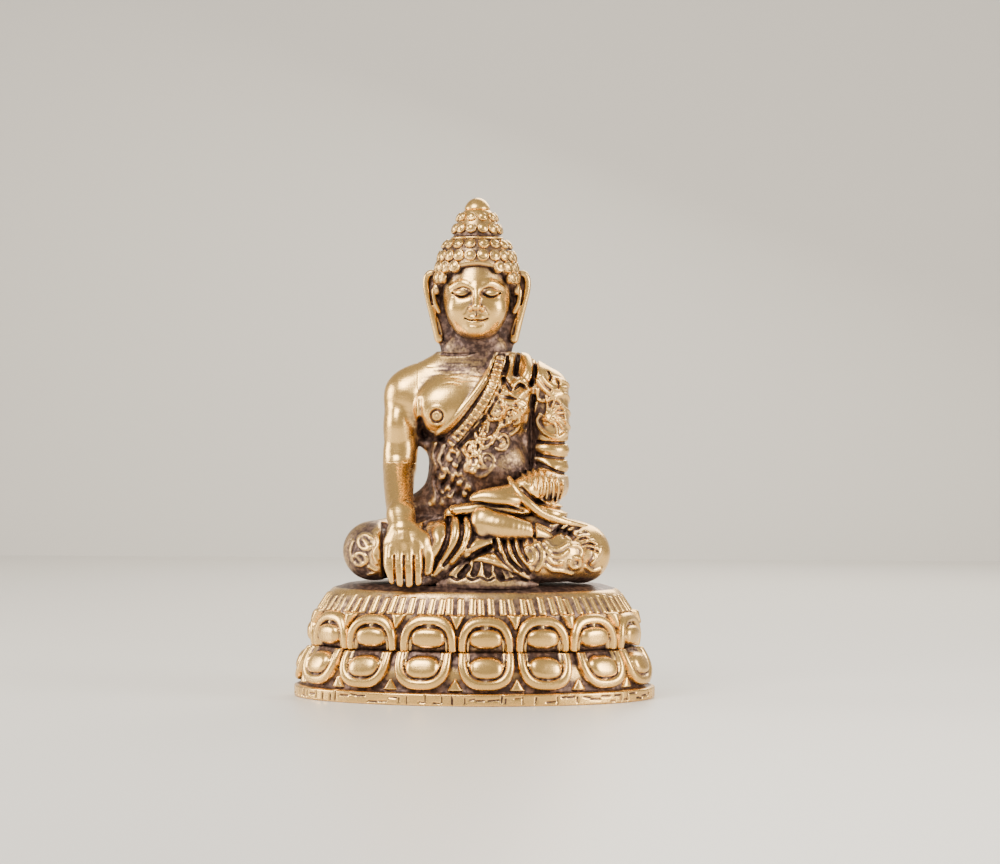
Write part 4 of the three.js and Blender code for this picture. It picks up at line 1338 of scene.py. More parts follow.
SLEEVE_PATTERN = [
    # the fan of leaves on the upper arm
    *[ridge(fan_line(a), 0.3, 0.27, front=2) for a in (1.75, 1.3, 0.9, 0.5, 0.12, -0.26, -0.66)],
    raised([(9, 39.6), (8.6, 38.7), (9, 37.6), (10.2, 36.7), (11.6, 36.4), (12.7, 37)], 0.34, 0.34, front=2),
    raised([(9.6, 39.6), (9.3, 38.9), (9.8, 38.3), (10.4, 38.5)], 0.3, 0.25, front=2),
    raised([(8.5, 44.4), (9.4, 43.2), (10.6, 42.4), (12.2, 42.3)], 0.34, 0.34, front=2),
    raised([(9.2, 45), (10.1, 43.9), (11.4, 43.2), (12.6, 43.3)], 0.26, 0.3, front=2),
    raised([(8.6, 43), (8.7, 41.8), (9.7, 41.5), (11.2, 41.9), (12.4, 40.4), (12.8, 38.4)], 0.26, 0.3,
        front=2),
    groove([(10.1, 45.6), (10.5, 44.9), (10.3, 44.4)], 0.4, 0.26, front=3),
    groove([(11.3, 44.6), (11.6, 43.9), (11.5, 43.4)], 0.4, 0.26, front=3),
    # the bands below it
    groove([(8.7, 35.8), (9.6, 35.7), (11.6, 35.6), (13.4, 35.7)], 0.5, 0.34, front=4),
    groove([(8.7, 34), (9.6, 33.8), (11.6, 33.5), (13.4, 33.4)], 0.5, 0.34, front=4),
    groove([(8.7, 32.7), (9.6, 32.4), (11.4, 31.6), (13.2, 31.2)], 0.5, 0.36, front=4),
    raised([(7.9, 35), (9.6, 34.8), (11.6, 34.6), (13.4, 34.6)], 0.22, 0.5, front=4),
    raised([(8.2, 33.4), (9.6, 33.1), (11.6, 32.5), (13.2, 32.2)], 0.18, 0.4, front=4),
    # pleats of the forearm
    *[
        ridge([(x0, z0), ((x0 + x1) / 2 + 0.25, (z0 + z1) / 2), (x1, z1)], 0.3, 0.26, front=1)
        for x0, z0, x1, z1 in (
            (6.3, 31.6, 6.9, 30.2), (7.2, 31.9, 7.6, 29.9), (8, 32, 8.4, 29.3), (8.9, 31.9, 9.1, 28.6),
            (9.8, 31.5, 9.9, 28), (10.7, 31.1, 10.7, 27.6), (11.5, 30.8, 11.3, 27.5),
            (12.3, 30.2, 11.9, 27.8),
        )
    ],
    # outer side and back of the arm
    *[
        ridge([(-2.2, z + 1), (0.6, z), (3.4, z - 1.1), (5.6, z - 1.6)], 0.26, 0.36, axes=(1, 2),
            side=(0, -1, 10.6))
        for z in (44.2, 42.2, 40.2, 38.2)
    ],
    *[ridge([(7.4, z - 0.4), (9.6, z), (12.6, z - 0.8)], 0.24, 0.4, side=BACK)
        for z in (41.8, 39.4, 37.2, 34.6, 32.4, 30.2)],
]
LEFT_HAND = [
    add(egg((3.1, -8, 27.9), (3.7, 2.3, 1.45), (0, 4, 0))),
    add(strand((6.2, -6.4, 28.7, 1.5), (4.2, -7.9, 28.6, 1.25), (2, -8.8, 28.3, 0.95),
        (-0.1, -9.1, 27.9, 0.66)), 0.6),
    add(strand((2.4, -8.7, 26.9, 1), (-0.4, -9.2, 26.5, 0.8), (-2.6, -8.8, 26.3, 0.62)), 0.3),
    add(strand((2.4, -7.6, 27, 0.95), (-0.6, -8.1, 26.5, 0.75), (-3, -7.8, 26.3, 0.6)), 0.25),
    add(strand((2.4, -6.4, 27.1, 0.95), (-0.6, -6.9, 26.6, 0.72), (-3.1, -6.6, 26.4, 0.58)), 0.25),
    add(strand((2.4, -5.4, 27.2, 0.9), (-0.4, -5.7, 26.7, 0.68), (-2.7, -5.5, 26.5, 0.55)), 0.25),
    add(egg((3.6, -8.1, 26.6), (4.2, 1.7, 1), (0, 6, 0)), 0.4),
    groove([(-1.4, 27.3), (0.6, 27.4), (2.6, 27), (4.6, 26.9), (6.6, 26.3)], 0.45, 0.3, front=-6.4),
]


def knee_ray(a, near):
    """One of the short strokes that fan out over the left knee."""
    spokes = ((near, near, 0), (4.4, 4.2, 0.06), (5.2, 4.9, 0.2))
    return [(12.0 + w * math.cos(a - back), 19.6 + h * math.sin(a - back)) for w, h, back in spokes]


LEGS = [
    *TORSO,
    *SEAT,
    add(strand((-7, 3, 21.3, 4.2), (-11.6, 0.4, 20.8, 4.25), (-14.3, -3, 20.45, 3.85), steps=3), 2),
    add(strand((-14.3, -3, 20.45, 3.85), (-11.4, -6.4, 20.4, 3.8), (-7.5, -8, 20.6, 3.5),
        (-1.6, -9.1, 22.2, 2.9), steps=3), 1.2),
    add(strand((7, 3, 21.3, 4.2), (12, 0.2, 20.8, 4.25), (14.7, -3.3, 20.3, 3.9), steps=3), 2),
    add(strand((14.7, -3.3, 20.3, 3.9), (11.6, -6.8, 20.1, 3.7), (8, -8.7, 19.7, 3.3), (3.5, -9.6, 19.6, 2.9),
        (0.6, -9.4, 19, 2.3), steps=3), 1.2),
    add(egg((8.6, -3, 22.6), (6.6, 5, 3)), 1.5),
    add(egg((0, -7.6, 17.4), (8.5, 3.6, 2.4)), 1.5),
    # cuff of the right leg
    raised([(-2.7, 25.4), (-2.75, 22.6), (-3.6, 20.4), (-5.6, 17.8)], 0.55, 0.62, front=-4),
    raised([(-1.15, 25.6), (-0.95, 23.2), (-1.8, 21.2), (-3, 19.4)], 0.5, 0.5, front=-4),
    groove([(-3.6, 25.2), (-3.75, 22.6), (-4.6, 20.4), (-6.4, 18)], 0.75, 0.5, front=-3),
    groove([(-1.9, 25.6), (-1.8, 23), (-2.6, 21), (-4.2, 18.9)], 0.7, 0.4, front=-4),
    groove([(-0.1, 25.2), (-0.1, 23), (-0.9, 21.4)], 0.6, 0.45, front=-4),
    raised([(-4.9, 24.6), (-5.3, 23.4), (-5, 22.2), (-5.6, 20.6), (-6.2, 19.4)], 0.34, 0.62, front=-4),
    groove([(-4.9, 25.2), (-6.8, 24.6), (-7, 22)], 0.4, 0.5, front=-3),
    # the slanting border of the robe over the lap
    raised([(2.75, 22.9), (0.8, 21.9), (-1.2, 20.9), (-3.2, 19.2), (-5, 17.4), (-7.2, 15.6)], 0.75, 0.85,
        front=-5),
    groove([(2.2, 21.4), (0.6, 20.6), (-0.8, 19.6), (-2.6, 17.8), (-4.4, 15.9)], 0.8, 0.55, front=-5),
    raised([(-0.8, 19.9), (1.6, 19.7), (4.6, 18.7), (7.4, 17)], 0.5, 0.5, front=-5),
    groove([(1.4, 20.8), (3.2, 20.6), (5, 19.4), (7.4, 17.9)], 0.5, 0.4, front=-5),
    # pleats of the left leg
    *[raised(line, 0.42, 0.4, front=-4) for line in (
        [(3.3, 22.6), (3.8, 20.6), (5, 18.9), (5.9, 18.2)], [(4.5, 22.6), (4.95, 20.7), (6, 19), (6.9, 18.2)],
        [(5.6, 22.5), (6, 20.9), (6.9, 19.3), (7.7, 18.4)],
    )],
    *[groove(line, 0.6, 0.4, front=-4) for line in (
        [(2.7, 22.3), (3.1, 20.7), (4.2, 19.3), (5.2, 18.4)],
        [(3.95, 22.6), (4.4, 20.6), (5.5, 18.9), (6.4, 18.2)],
        [(5.05, 22.5), (5.5, 20.8), (6.4, 19.2), (7.3, 18.3)], [(6.2, 22.3), (6.5, 21), (7.2, 19.6)],
    )],
    # woven pattern of the left leg
    raised_ring((7.55, 20.3), 0.85, 0.3, 0.28, front=-4, squash=1.35),
    raised_ring((7.7, 22.2), 0.6, 0.26, 0.24, front=-4),
    raised([(8.8, 21.9), (9.4, 20.6), (9.2, 19.2), (8.6, 18.2)], 0.32, 0.3, front=-4),
    raised([(9.6, 22), (10.6, 21.2), (11.8, 21.3), (12.8, 21.9)], 0.3, 0.32, front=-3),
    raised([(9.9, 21), (10.8, 20.2), (12, 20.3), (12.8, 20.9)], 0.3, 0.3, front=-3),
    raised([(10, 20), (10.9, 19.2), (12, 19.2)], 0.28, 0.3, front=-3),
    raised([(9.8, 18.9), (10.7, 18.2), (12.2, 18), (13.4, 17.6)], 0.26, 0.3, front=-3),
    raised_ring((13.9, 19.2), 0.75, 0.32, 0.3, front=-2, start=-200, sweep=290),
    raised([(14.6, 19.9), (14.9, 20.9), (14.3, 21.6), (13.4, 21.7)], 0.3, 0.3, front=-2),
    *[raised([(16.1 + 0.1 * i, 19), (16.6 + 0.35 * i, 20), (16.6 + 0.5 * i, 21.2)], 0.28, 0.26, front=-1)
        for i in range(3)],
    raised([(15.4, 18.6), (16.4, 17.9), (17.6, 18.2)], 0.28, 0.3, front=-1),
    *[groove(knee_ray(a, near), 0.34, 0.26, front=1) for a, near in (
        (1.75, 3.7), (1.5, 3.2), (1.28, 3.6), (1.05, 3.1), (0.84, 3.7), (0.62, 3.4), (0.42, 3.9),
    )],
    groove([(10.4, 22.9), (11.4, 23.5), (12.6, 23.3), (13.4, 22.8)], 0.5, 0.5),
    raised([(10.6, 24.3), (11.8, 24.6), (13.2, 24), (14.3, 22.9)], 0.24, 0.34),
    raised([(14.8, 23.2), (15.8, 22.6), (16.8, 21.6)], 0.24, 0.34),
    # woven pattern of the right knee
    raised_ring((-15.2, 21.9), 1, 0.32, 0.3, front=-1, start=40, sweep=280),
    raised_ring((-15.9, 19.4), 0.9, 0.32, 0.3, front=-1, start=-140, sweep=290),
    raised([(-13.6, 23), (-13.3, 21.6), (-13.9, 20.4), (-13.5, 19)], 0.3, 0.3, front=-1),
    raised([(-16.9, 21.9), (-17.3, 20.6), (-17, 19.2)], 0.24, 0.26),
    raised([(-14.6, 18.4), (-13.6, 17.7), (-14.8, 17.2)], 0.26, 0.28, front=-1),
    raised([(-15.4, 22.2), (-14.9, 21.5)], 0.26, 0.34, front=-1),
    raised([(-16.2, 19.6), (-15.7, 19)], 0.26, 0.34, front=-1),
    groove([(-12.6, 24.2), (-12.5, 21.5), (-12.4, 18.4), (-12, 16.6)], 0.8, 0.7, front=-3),
    # folds round the back of the seat
    *[raised([(-16.6 + 1.2 * k, 20.8 - 0.6 * k), (-8, 19.6 + 1.5 - 1.6 * k), (0, 20.4 - 1.7 * k),
        (8, 21.1 - 1.6 * k), (16.6 - 1.2 * k, 20.8 - 0.6 * k)], 0.3, 0.5, side=(1, -1, 0))
        for k in (0, 1, 2)],
    *[groove([(s * (4.0 + i * 1.7), 25.4), (s * (4.8 + i * 2), 23), (s * (5.0 + i * 2.5), 20.6)], 0.22, 0.34,
        side=(1, -1, 1)) for s in (1, -1) for i in range(4)],
    keep(above(DECK - 0.03)),
    keep(below(WAIST_LEVEL)),
]
HEM = [
    add(egg((1.4, -9.6, 16.4), (6.6, 3.1, 3.9), (12, 0, 0))),
    add(strand((-4.8, -10.6, 16.2, 0.4), (-1.8, -11.7, 16.3, 0.6), (2, -12.1, 16.35, 0.65),
        (6, -11.5, 16.3, 0.6), (8.6, -10.2, 16.2, 0.3)), 0.9),
    *[groove([(x0, z0), (x1, z0 - 1.1)], 1.25, 0.62, front=-8, steps=1)
        for x0, z0, x1 in ((-0.9, 18.6, -1.9), (0.35, 18.9, -0.05), (1.75, 18.8, 1.85), (3.1, 18.3, 3.7))],
    *[raised([(x0, 19.8), (x1, 17.4)], 0.24, 0.3, front=-8, steps=1)
        for x0, x1 in ((-1.6, -3.4), (-0.25, -1.05), (1, 0.85), (2.4, 2.85), (3.9, 5.2))],
    groove([(-4.8, 17), (-3.4, 17.3), (-2.4, 16.95), (-1.3, 17.35), (-0.3, 16.95), (0.8, 17.3), (1.9, 16.9),
        (3, 17.3), (4.2, 16.9), (5.6, 17.2), (7.2, 16.9)], 0.34, 0.24, front=-9),
    keep(above(DECK - 0.35)),
]
FOOT = [
    add(strand((1.3, -9.7, 24.6, 2.1), (4, -10.4, 24.1, 1.85), (6.6, -10.2, 23.7, 1.4),
        (8, -9.9, 23.4, 1.1))),
    add(egg((1.3, -9, 25.6), (1.7, 2.3, 1.35), (0, 12, 0)), 0.6),
    add(egg((1, -9.6, 23.4), (1.3, 2, 1.2)), 0.6),
    add(strand((8.3, -9.9, 23.3, 1), (9.6, -9.4, 22.9, 0.74), (10.3, -9, 22.7, 0.55)), 0.2),
    *[add(strand((8.5, -9.4 + 0.9 * i, 24.0 - 0.1 * i, 0.7), (10.1 - 0.25 * i, -8.5 + 0.9 * i, 23.5, 0.52)),
        0.12) for i in range(3)],
    groove([(8, 24.8), (8.25, 23.4), (8.1, 22.2)], 0.5, 0.32, front=-6),
]
HEAD = [
    add(egg((0, 0.1, 57.5), (4.75, 5.6, 6.2))),
    add(egg((0, -1.3, 55.3), (4.4, 4.6, 5)), 1),
    add(egg((0, -1.9, 53.2), (3.5, 3.7, 3)), 1.2),
    add(egg((0, -4.5, 51.5), (1.35, 1.25, 1.1)), 1.3),
    *[add(egg((s * 2.3, -3.9, 54.3), (1.6, 1.5, 1.7)), 1.3) for s in (-1, 1)],
    add(NECK, 0.9),
    *[add(egg((s * 4.1, 1.8, 52.4), (1.6, 1.5, 4)), 0.9) for s in (-1, 1)],
    # brows, lowered lids, nose and lips
    *[cut(egg((s * 2.1, -5.95, 56.5), (1.55, 0.95, 0.75)), 0.7) for s in (-1, 1)],
    *[add(strand((s * 0.6, -5.45, 57.15, 0.3), (s * 1.9, -5, 57.85, 0.34), (s * 3.6, -3.8, 57.2, 0.24)), 0.5)
        for s in (-1, 1)],
    *[add(egg((s * 2.1, -4.4, 56.3), (1.45, 0.95, 0.78)), 0.2) for s in (-1, 1)],
    add(strand((0, -5.4, 57.4, 0.42), (0, -6, 55.8, 0.46), (0, -6.7, 54.5, 0.6)), 0.45),
    *[add(egg((s * 0.74, -5.95, 54.2), (0.46, 0.6, 0.42)), 0.25) for s in (-1, 1)],
    *[add(strand((s * 1.4, -5.05, 52.75, 0.16), (s * 0.6, -5.6, 52.98, 0.32), (0, -5.7, 52.88, 0.3)), 0.3)
        for s in (-1, 1)],
    add(strand((-1.1, -5.05, 52.42, 0.18), (0, -5.55, 52.26, 0.4), (1.1, -5.05, 52.42, 0.18)), 0.25),
    *[groove([(s * 0.95, 56.35), (s * 1.5, 56.02), (s * 2.2, 55.9), (s * 2.9, 56.15), (s * 3.3, 56.45)], 0.4,
        0.22, front=-2.6) for s in (-1, 1)],
    *[groove([(s, 56.95), (s * 1.9, 57.2), (s * 3.1, 56.85)], 0.14, 0.16, front=-2.6) for s in (-1, 1)],
    groove([(-1.62, 52.9), (-0.8, 52.62), (0, 52.68), (0.8, 52.62), (1.62, 52.9)], 0.28, 0.17, front=-3),
    groove([(0, 53.75), (0, 53.25)], 0.12, 0.2, front=-4, steps=1),
    *[cut(egg((s * 0.42, -6.2, 53.92), (0.2, 0.3, 0.16)), 0.1) for s in (-1, 1)],
    *[groove([(s * 1.15, 54.4), (s * 1.7, 53.6)], 0.09, 0.3, front=-3.5, steps=1) for s in (-1, 1)],
    groove([(-0.8, 51.98), (0, 51.88), (0.8, 51.98)], 0.14, 0.22, front=-4),
]
EARS = [
    *[add(egg((s * 6, 1, 56.6), (1.25, 0.6, 2.9), (0, s * 8, 0)), 0.4) for s in (-1, 1)],
    *[add(egg((s * 5.5, 1, 52.4), (0.85, 0.6, 3), (0, s * 8, 0)), 0.5) for s in (-1, 1)],
    *[add(strand(
        (s * 5.1, 0.5, 58.3, 0.36), (s * 6.1, 0.3, 59.4, 0.46), (s * 6.95, 0.4, 59, 0.48),
        (s * 7.15, 0.4, 57.5, 0.44), (s * 6.7, 0.4, 55.6, 0.5), (s * 6.1, 0.4, 53.4, 0.56),
        (s * 5.6, 0.4, 51.7, 0.66), (s * 5.25, 0.4, 50.2, 0.66),
    ), 0.2) for s in (-1, 1)],
    *[add(strand((s * 5.4, 0.1, 57.9, 0.3), (s * 6, 0, 57, 0.34), (s * 5.9, 0, 55.4, 0.34),
        (s * 5.3, 0.1, 54, 0.32)), 0.15) for s in (-1, 1)],
    *[cut(egg((s * 6.3, 0.1, 58.3), (0.42, 0.6, 0.6)), 0.15) for s in (-1, 1)],
    *[cut(egg((s * 6.4, 0.2, 55.9), (0.22, 0.5, 1.2), (0, s * 8, 0)), 0.1) for s in (-1, 1)],
    *[cut(egg((s * 5.3, -0.2, 56.2), (0.32, 0.7, 0.95)), 0.15) for s in (-1, 1)],
    *[cut(strand((s * 5.55, -0.1, 53, 0.2), (s * 5.1, -0.1, 50.9, 0.22)), 0.1) for s in (-1, 1)],
]
HAIR_LEVELS = (50, 52, 54, 56, 58, 60, 61.6, 62.6, 63.4, 64, 64.6)
HAIR_WIDTHS = (3.9, 4.8, 5.3, 5.6, 5.7, 5.55, 5.2, 4.85, 4.4, 3.7, 2.6)
HAIR_DEPTH = 1.07
HEAD_CENTRE = 0.2  # the depth of the middle of the hair


def hair_distance(p):
    """How far outside the body of the hair a point is."""
    from_axis = np.hypot(p[..., 0], (p[..., 1] - HEAD_CENTRE) / HAIR_DEPTH)
    return (from_axis - np.interp(p[..., 2], HAIR_LEVELS, HAIR_WIDTHS)) * 0.8


def hair_plane(extra=0.0):
    """The sloping cut between the face and the hair, from the forehead down behind the ears."""
    slope = 0.62
    normal = np.array([0, math.sin(slope), math.cos(slope)], np.float32)
    foot = np.array([0, -0.8, 57.1 + extra], np.float32)
    return Lump(lambda p: -((p - foot) @ normal))


def hair_at(level):
    """Half width of the hair at a height, and how far its surface leans back there."""
    wide = np.interp(level, HAIR_LEVELS, HAIR_WIDTHS)
    over, under = (np.interp(level + step, HAIR_LEVELS, HAIR_WIDTHS) for step in (0.6, -0.6))
    return wide, math.atan2(over - under, 1.2)


def rough_and_shaded_places():
    """Places made rougher and darker, each with a strength. Most are rough casting skin; some are painted
    shade: the right armpit, the gap between the left arm and the torso, the sides and back of the hair, and
    the right knee, which lies away from the light.
    """
    return [
        (egg((4.4, -3.6, 32.6), (4.2, 3.4, 3.6)), 0.98),
        (egg((0.6, -3.6, 30.2), (4.4, 3.4, 2.4)), 1.05),
        (egg((-4.0, -2.0, 31.0), (4.0, 5.4, 5.4)), 1.1),
        # painted shade in the right armpit
        (egg((-7.4, 1.0, 37.4), (1.3, 4.0, 2.8)), 0.7),
        (egg((0, 1.4, 48.6), (5.8, 5.4, 1.9)), 0.9),
        (egg((-1.6, -1.4, 46.4), (3.8, 3.0, 1.2)), 0.42),
        (egg((-5.0, 1.0, 50.6), (1.8, 3.0, 2.2)), 0.85),
        (egg((5.0, 1.0, 50.6), (1.8, 3.0, 2.2)), 0.85),
        (egg((1.0, -10.5, 16.6), (10.0, 3.8, 1.4)), 0.75),
        # painted shade: the right knee lies away from the light
        (egg((-15.0, -3.0, 20.6), (3.8, 5.2, 4.8)), 0.95),
        (egg((1.4, -10.5, 17.6), (7.0, 3.8, 2.6)), 0.55),
        (strand((2.4, -10.0, 22.6, 1.2), (-1.2, -10.5, 20.8, 1.3), (-5.2, -10.5, 17.2, 1.3)), 0.7),
        # painted shade on the sides and back of the hair
        (egg((0, 2.8, 59.6), (8.0, 6.4, 6.4)), 0.5),
        (egg((0, -9.6, 16.0), (16.5, 4.2, 1.2)), 0.75),
        (egg((0, 0, 16.0), (20.8, 14.1, 1.05)), 0.75),
        (egg((-7.6, 0, 27.0), (3.6, 6.0, 2.6)), 0.95),
        (egg((12.2, -5.0, 23.6), (2.6, 4.0, 1.6)), 0.5),
        # painted shade beside the right knee, away from the light
        (egg((-12.6, -3.0, 20.0), (1.8, 7.0, 4.0)), 0.6),
        # painted shade in the gap between the left arm and the torso
        (egg((7.9, 0.0, 36.0), (1.0, 4.0, 6.0)), 0.7),
    ]


def build_torso(look, finish):
    cell = look.fine_cell / MM * 1.18
    steps = [
        *TORSO, *SEAT, *UPPER_ARMS, *CHEST, *ROBE, *SLEEVE_PATTERN,
        keep(above(WAIST_LEVEL - LAP)), keep(below(NECK_LEVEL)),
        keep(either(above(-SHOULDER, 0), below(HIP_LEVEL))), keep(below(SHOULDER, 0)),
    ]
    torso = sculpted("torso_body", steps, (-11.0, -6.8, WAIST_LEVEL - 0.4), (8.6, 8.2, NECK_LEVEL + 0.4),
        cell)
    settle(torso, finish, "torso")
    band = drawn(LADDER, front=1.8)
    shell = [
        *TORSO, ("shell", Lump(None), 0.42), keep(Lump(lambda p: band.distance(p) - 0.66), 0.3),
        keep(below(NECK_LEVEL)), keep(above(WAIST_LEVEL)),
    ]
    border = sculpted("robe_band", shell, (-5.2, -7, 34), (5.2, 4, NECK_LEVEL + 0.3), cell)
    store(border, "recess", np.full(len(border.data.vertices), 0.6))
    bars = bars_along("robe_band_bars", smooth_path(LADDER, 8), border, 0.00095, (0.62, 0.27, 0.27), finish)
    band_piece = join_pieces("robe_band", [border, bars])
    settle(band_piece, finish, "robe_border")
    return [torso, band_piece]


def build_right_arm(look, finish):
    cell = look.fine_cell / MM
    arm = [*TORSO, *UPPER_ARMS, RIGHT_ARM[0], *CHEST, keep(below(-SHOULDER + LAP, 0)),
        keep(above(ELBOW_LEVEL))]
    upper = sculpted("right_arm_upper", arm, (-13.6, -2.5, ELBOW_LEVEL - 0.3), (-7.9, 5.6, 46.4), cell)
    fore = [*UPPER_ARMS[:2], *RIGHT_ARM, *hand_marks(), keep(below(ELBOW_LEVEL + LAP * 0.5))]
    lower = sculpted("right_arm_fore", fore, (-13.6, -14.2, 15.2), (-5.0, 4.0, ELBOW_LEVEL + 0.3), cell)
    return [settle(upper, finish, "right_upper_arm"), settle(lower, finish, "right_forearm")]


def build_left_arm(look, finish):
    cell = look.fine_cell / MM
    ribbon = [
        add(strand((4.7, -6.4, 30.8, 0.3), (5.5, -7.8, 29.4, 0.6), (7.0, -8.6, 27.7, 0.7),
            (9.2, -8.2, 25.9, 0.66), (12.2, -7.0, 24.8, 0.6), (15.4, -4.6, 24.0, 0.4)), 0.35),
        add(egg((10.4, -4.6, 26.4), (2.6, 3.4, 1.3), (0, 20, 0)), 0.5),
        groove([(6.4, 29.4), (8.2, 27.8), (10.2, 26.9), (12.6, 26.3)], 0.5, 0.45, front=-2.0),
    ]
    cloth = [
        *TORSO, *UPPER_ARMS, keep(above(SHOULDER - LAP, 0)), keep(above(28.0), 0.4),
        *SLEEVE, *ribbon, *ROBE, *SLEEVE_PATTERN,
    ]
    sleeve = sculpted("left_sleeve_cloth", cloth, (3.6, -10.4, 23.6), (17.6, 5.8, 47.0), cell)
    hand = sculpted("left_hand_cast", LEFT_HAND, (-4.2, -11.2, 25.0), (8.6, -4.2, 30.8), cell * 0.9)
    return [settle(sleeve, finish, "left_sleeve"), settle(hand, finish, "left_hand")]


def build_legs(look, finish):
    for node in ("seat_pin_right", "seat_pin_left"):
        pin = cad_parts[node]
        pin.data.materials.clear()
        pin.data.materials.append(brass("pin_brass", look))
    cell = look.fine_cell / MM
    legs = sculpted("crossed_legs", LEGS, (-19, -13.6, DECK - 0.4), (19.2, 8.8, WAIST_LEVEL + 0.3),
        cell * 1.36)
    hem = sculpted("robe_apron", HEM, (-6.2, -14.2, DECK - 0.6), (10, -6.2, 21.4), cell)
    foot = sculpted("right_foot_cast", FOOT, (-2, -13.4, 21.2), (12.6, -4.4, 27.8), cell)
    return [settle(legs, finish, "legs"), settle(hem, finish, "robe_hem"), settle(foot, finish, "right_foot")]


def build_head(look, finish):
    cell = look.fine_cell / MM * 0.8
    face = [*HEAD, cut(hair_plane(0.1)), *EARS, keep(above(NECK_LEVEL - LAP))]
    head = sculpted("head_face", face, (-8.2, -8.2, NECK_LEVEL - 0.5), (8.2, 7.4, 62.4), cell)
    hair = [
        add(Lump(hair_distance)), keep(hair_plane(), 0.3), keep(below(CROWN_LEVEL)),
        *[cut(egg((s * 6.7, 0.6, 56.6), (1.2, 0.9, 2.9)), 0.2) for s in (-1, 1)],
    ]
    cap = sculpted("hair_shell", hair, (-7.2, -7.2, 49.5), (7.2, 7.6, CROWN_LEVEL + 0.3), cell * 1.3)
    return [settle(head, finish, "head"), settle(cap, brass("hair_brass", look), "hair_cap")]


def curl_bead(name, radius):
    """A bead of hair: a low dome inside a fine raised ring."""
    rings = [(1.2, -0.5), (1.1, 0.0), (1.0, 0.36), (0.88, 0.5), (0.76, 0.4), (0.6, 0.56), (0.0, 0.66)]
    around = 12
    points, faces = [], []
    for share, out in rings[:-1]:
        for i in range(around):
            a = 2 * math.pi * i / around
            points.append((radius * share * math.cos(a), -radius * out, radius * share * math.sin(a)))
    points.append((0, -radius * rings[-1][1], 0))
    points.append((0, radius * 0.4, 0))
    for r in range(len(rings) - 2):
        for i in range(around):
            j = (i + 1) % around
            a, b = r * around, (r + 1) * around
            faces += [(a + i, a + j, b + j), (a + i, b + j, b + i)]
    last = (len(rings) - 2) * around
    faces += [(last + i, last + (i + 1) % around, len(points) - 2) for i in range(around)]
    faces += [((i + 1) % around, i, len(points) - 1) for i in range(around)]
    bead = mesh_piece(name, np.array(points), np.array(faces))
    store(bead, "recess", np.repeat([1.0, 1.0, 0.3, 0.0, 0.7, 0.0], around).tolist() + [0.0, 1.0])
    return bead


def bead_row(name, look, finish, level, count, radius, half_width, front=1.0, lean=0.0, depth=1.04, seed=1):
    """Beads round the head at one level. front is how much of the way round they go, from the back."""
    start = 0.25 - front / 2
    return row(
        name, curl_bead(name + "_tile", radius), finish, count=count, height=level, lean=lean, seed=seed,
        jitter=look.unevenness, half_width=half_width, half_depth=half_width * depth, start=start,
        sweep=front, centre_y=HEAD_CENTRE,
    )


HAIR_ROWS = (  # height, how many, and how much of the way round they go from the back
    (63.35, 16, 1.0), (61.7, 20, 1.0), (60.15, 19, 0.86), (58.7, 17, 0.72), (57.2, 14, 0.58), (55.7, 12, 0.5),
    (54.3, 10, 0.44), (52.9, 8, 0.38),
)


def build_hair_beads(look, finish):
    rows = []
    for level, count, front in HAIR_ROWS:
        wide, lean = hair_at(level)
        radius = 0.74 if level > 63 else 0.8
        name = f"hair_row_{level:.0f}"
        beads = bead_row(name, look, finish, level, count, radius, wide + 0.02, front, lean, HAIR_DEPTH,
            int(level))
        rows.append(beads)
    return [settle(join_pieces("hair_beads", rows), finish)]


USHNISHA_OUTSIDE = [
    (3.7, CROWN_LEVEL), (3.7, 64.35), (3.35, 64.6), (3.2, 65.2), (3.05, 65.9), (2.8, 66.5), (2.55, 67.1),
    (2.25, 67.7), (1.95, 68.1), (1.7, FINIAL_LEVEL)
]


def round_body(name, outside, squash=1.04, around=160):
    """A turned solid, closed at both ends, from [radius, height] points."""
    profile = smooth_path(outside, 5)
    angle = np.linspace(0, 2 * math.pi, around, endpoint=False)
    ring_points = [np.stack([r * np.cos(angle), r * squash * np.sin(angle) + HEAD_CENTRE, np.full(around, z)],
        1) for r, z in profile]
    points = np.concatenate([*ring_points, [(0, HEAD_CENTRE, profile[0, 1]),
        (0, HEAD_CENTRE, profile[-1, 1])]])
    number = np.arange(around)
    following = np.roll(number, -1)
    faces = []
    for r in range(len(profile) - 1):
        a, b = r * around, (r + 1) * around
        faces.append(np.stack([a + number, a + following, b + following], 1))
        faces.append(np.stack([a + number, b + following, b + number], 1))
    bottom, top = len(points) - 2, len(points) - 1
    last = (len(profile) - 1) * around
    faces += [np.stack([following, number, np.full(around, bottom)], 1),
        np.stack([last + number, last + following, np.full(around, top)], 1)]
    return mesh_piece(name, points, np.concatenate(faces))


def build_ushnisha(look, finish):
    body = round_body("ushnisha_body", USHNISHA_OUTSIDE)
    rows = [
        bead_row("ushnisha_row_low", look, finish, 65.6, 13, 0.7, 3.2, 1.0, -0.3, seed=3),
        bead_row("ushnisha_row_high", look, finish, 67.25, 10, 0.66, 2.52, 1.0, -0.5, seed=4),
    ]
    beads = join_pieces("ushnisha_beads", rows)
    drop = round_body("finial_drop", [(1.72, FINIAL_LEVEL), (1.8, 68.5), (1.6, 69.0), (1.1, 69.6),
        (0.5, 69.93), (0.02, TOTAL_HEIGHT)], squash=1.0)
    settle(body, finish, "ushnisha")
    settle(beads, finish)
    settle(drop, finish, "finial")
    return [body, beads, drop]


# ----------------------------------
# Stage


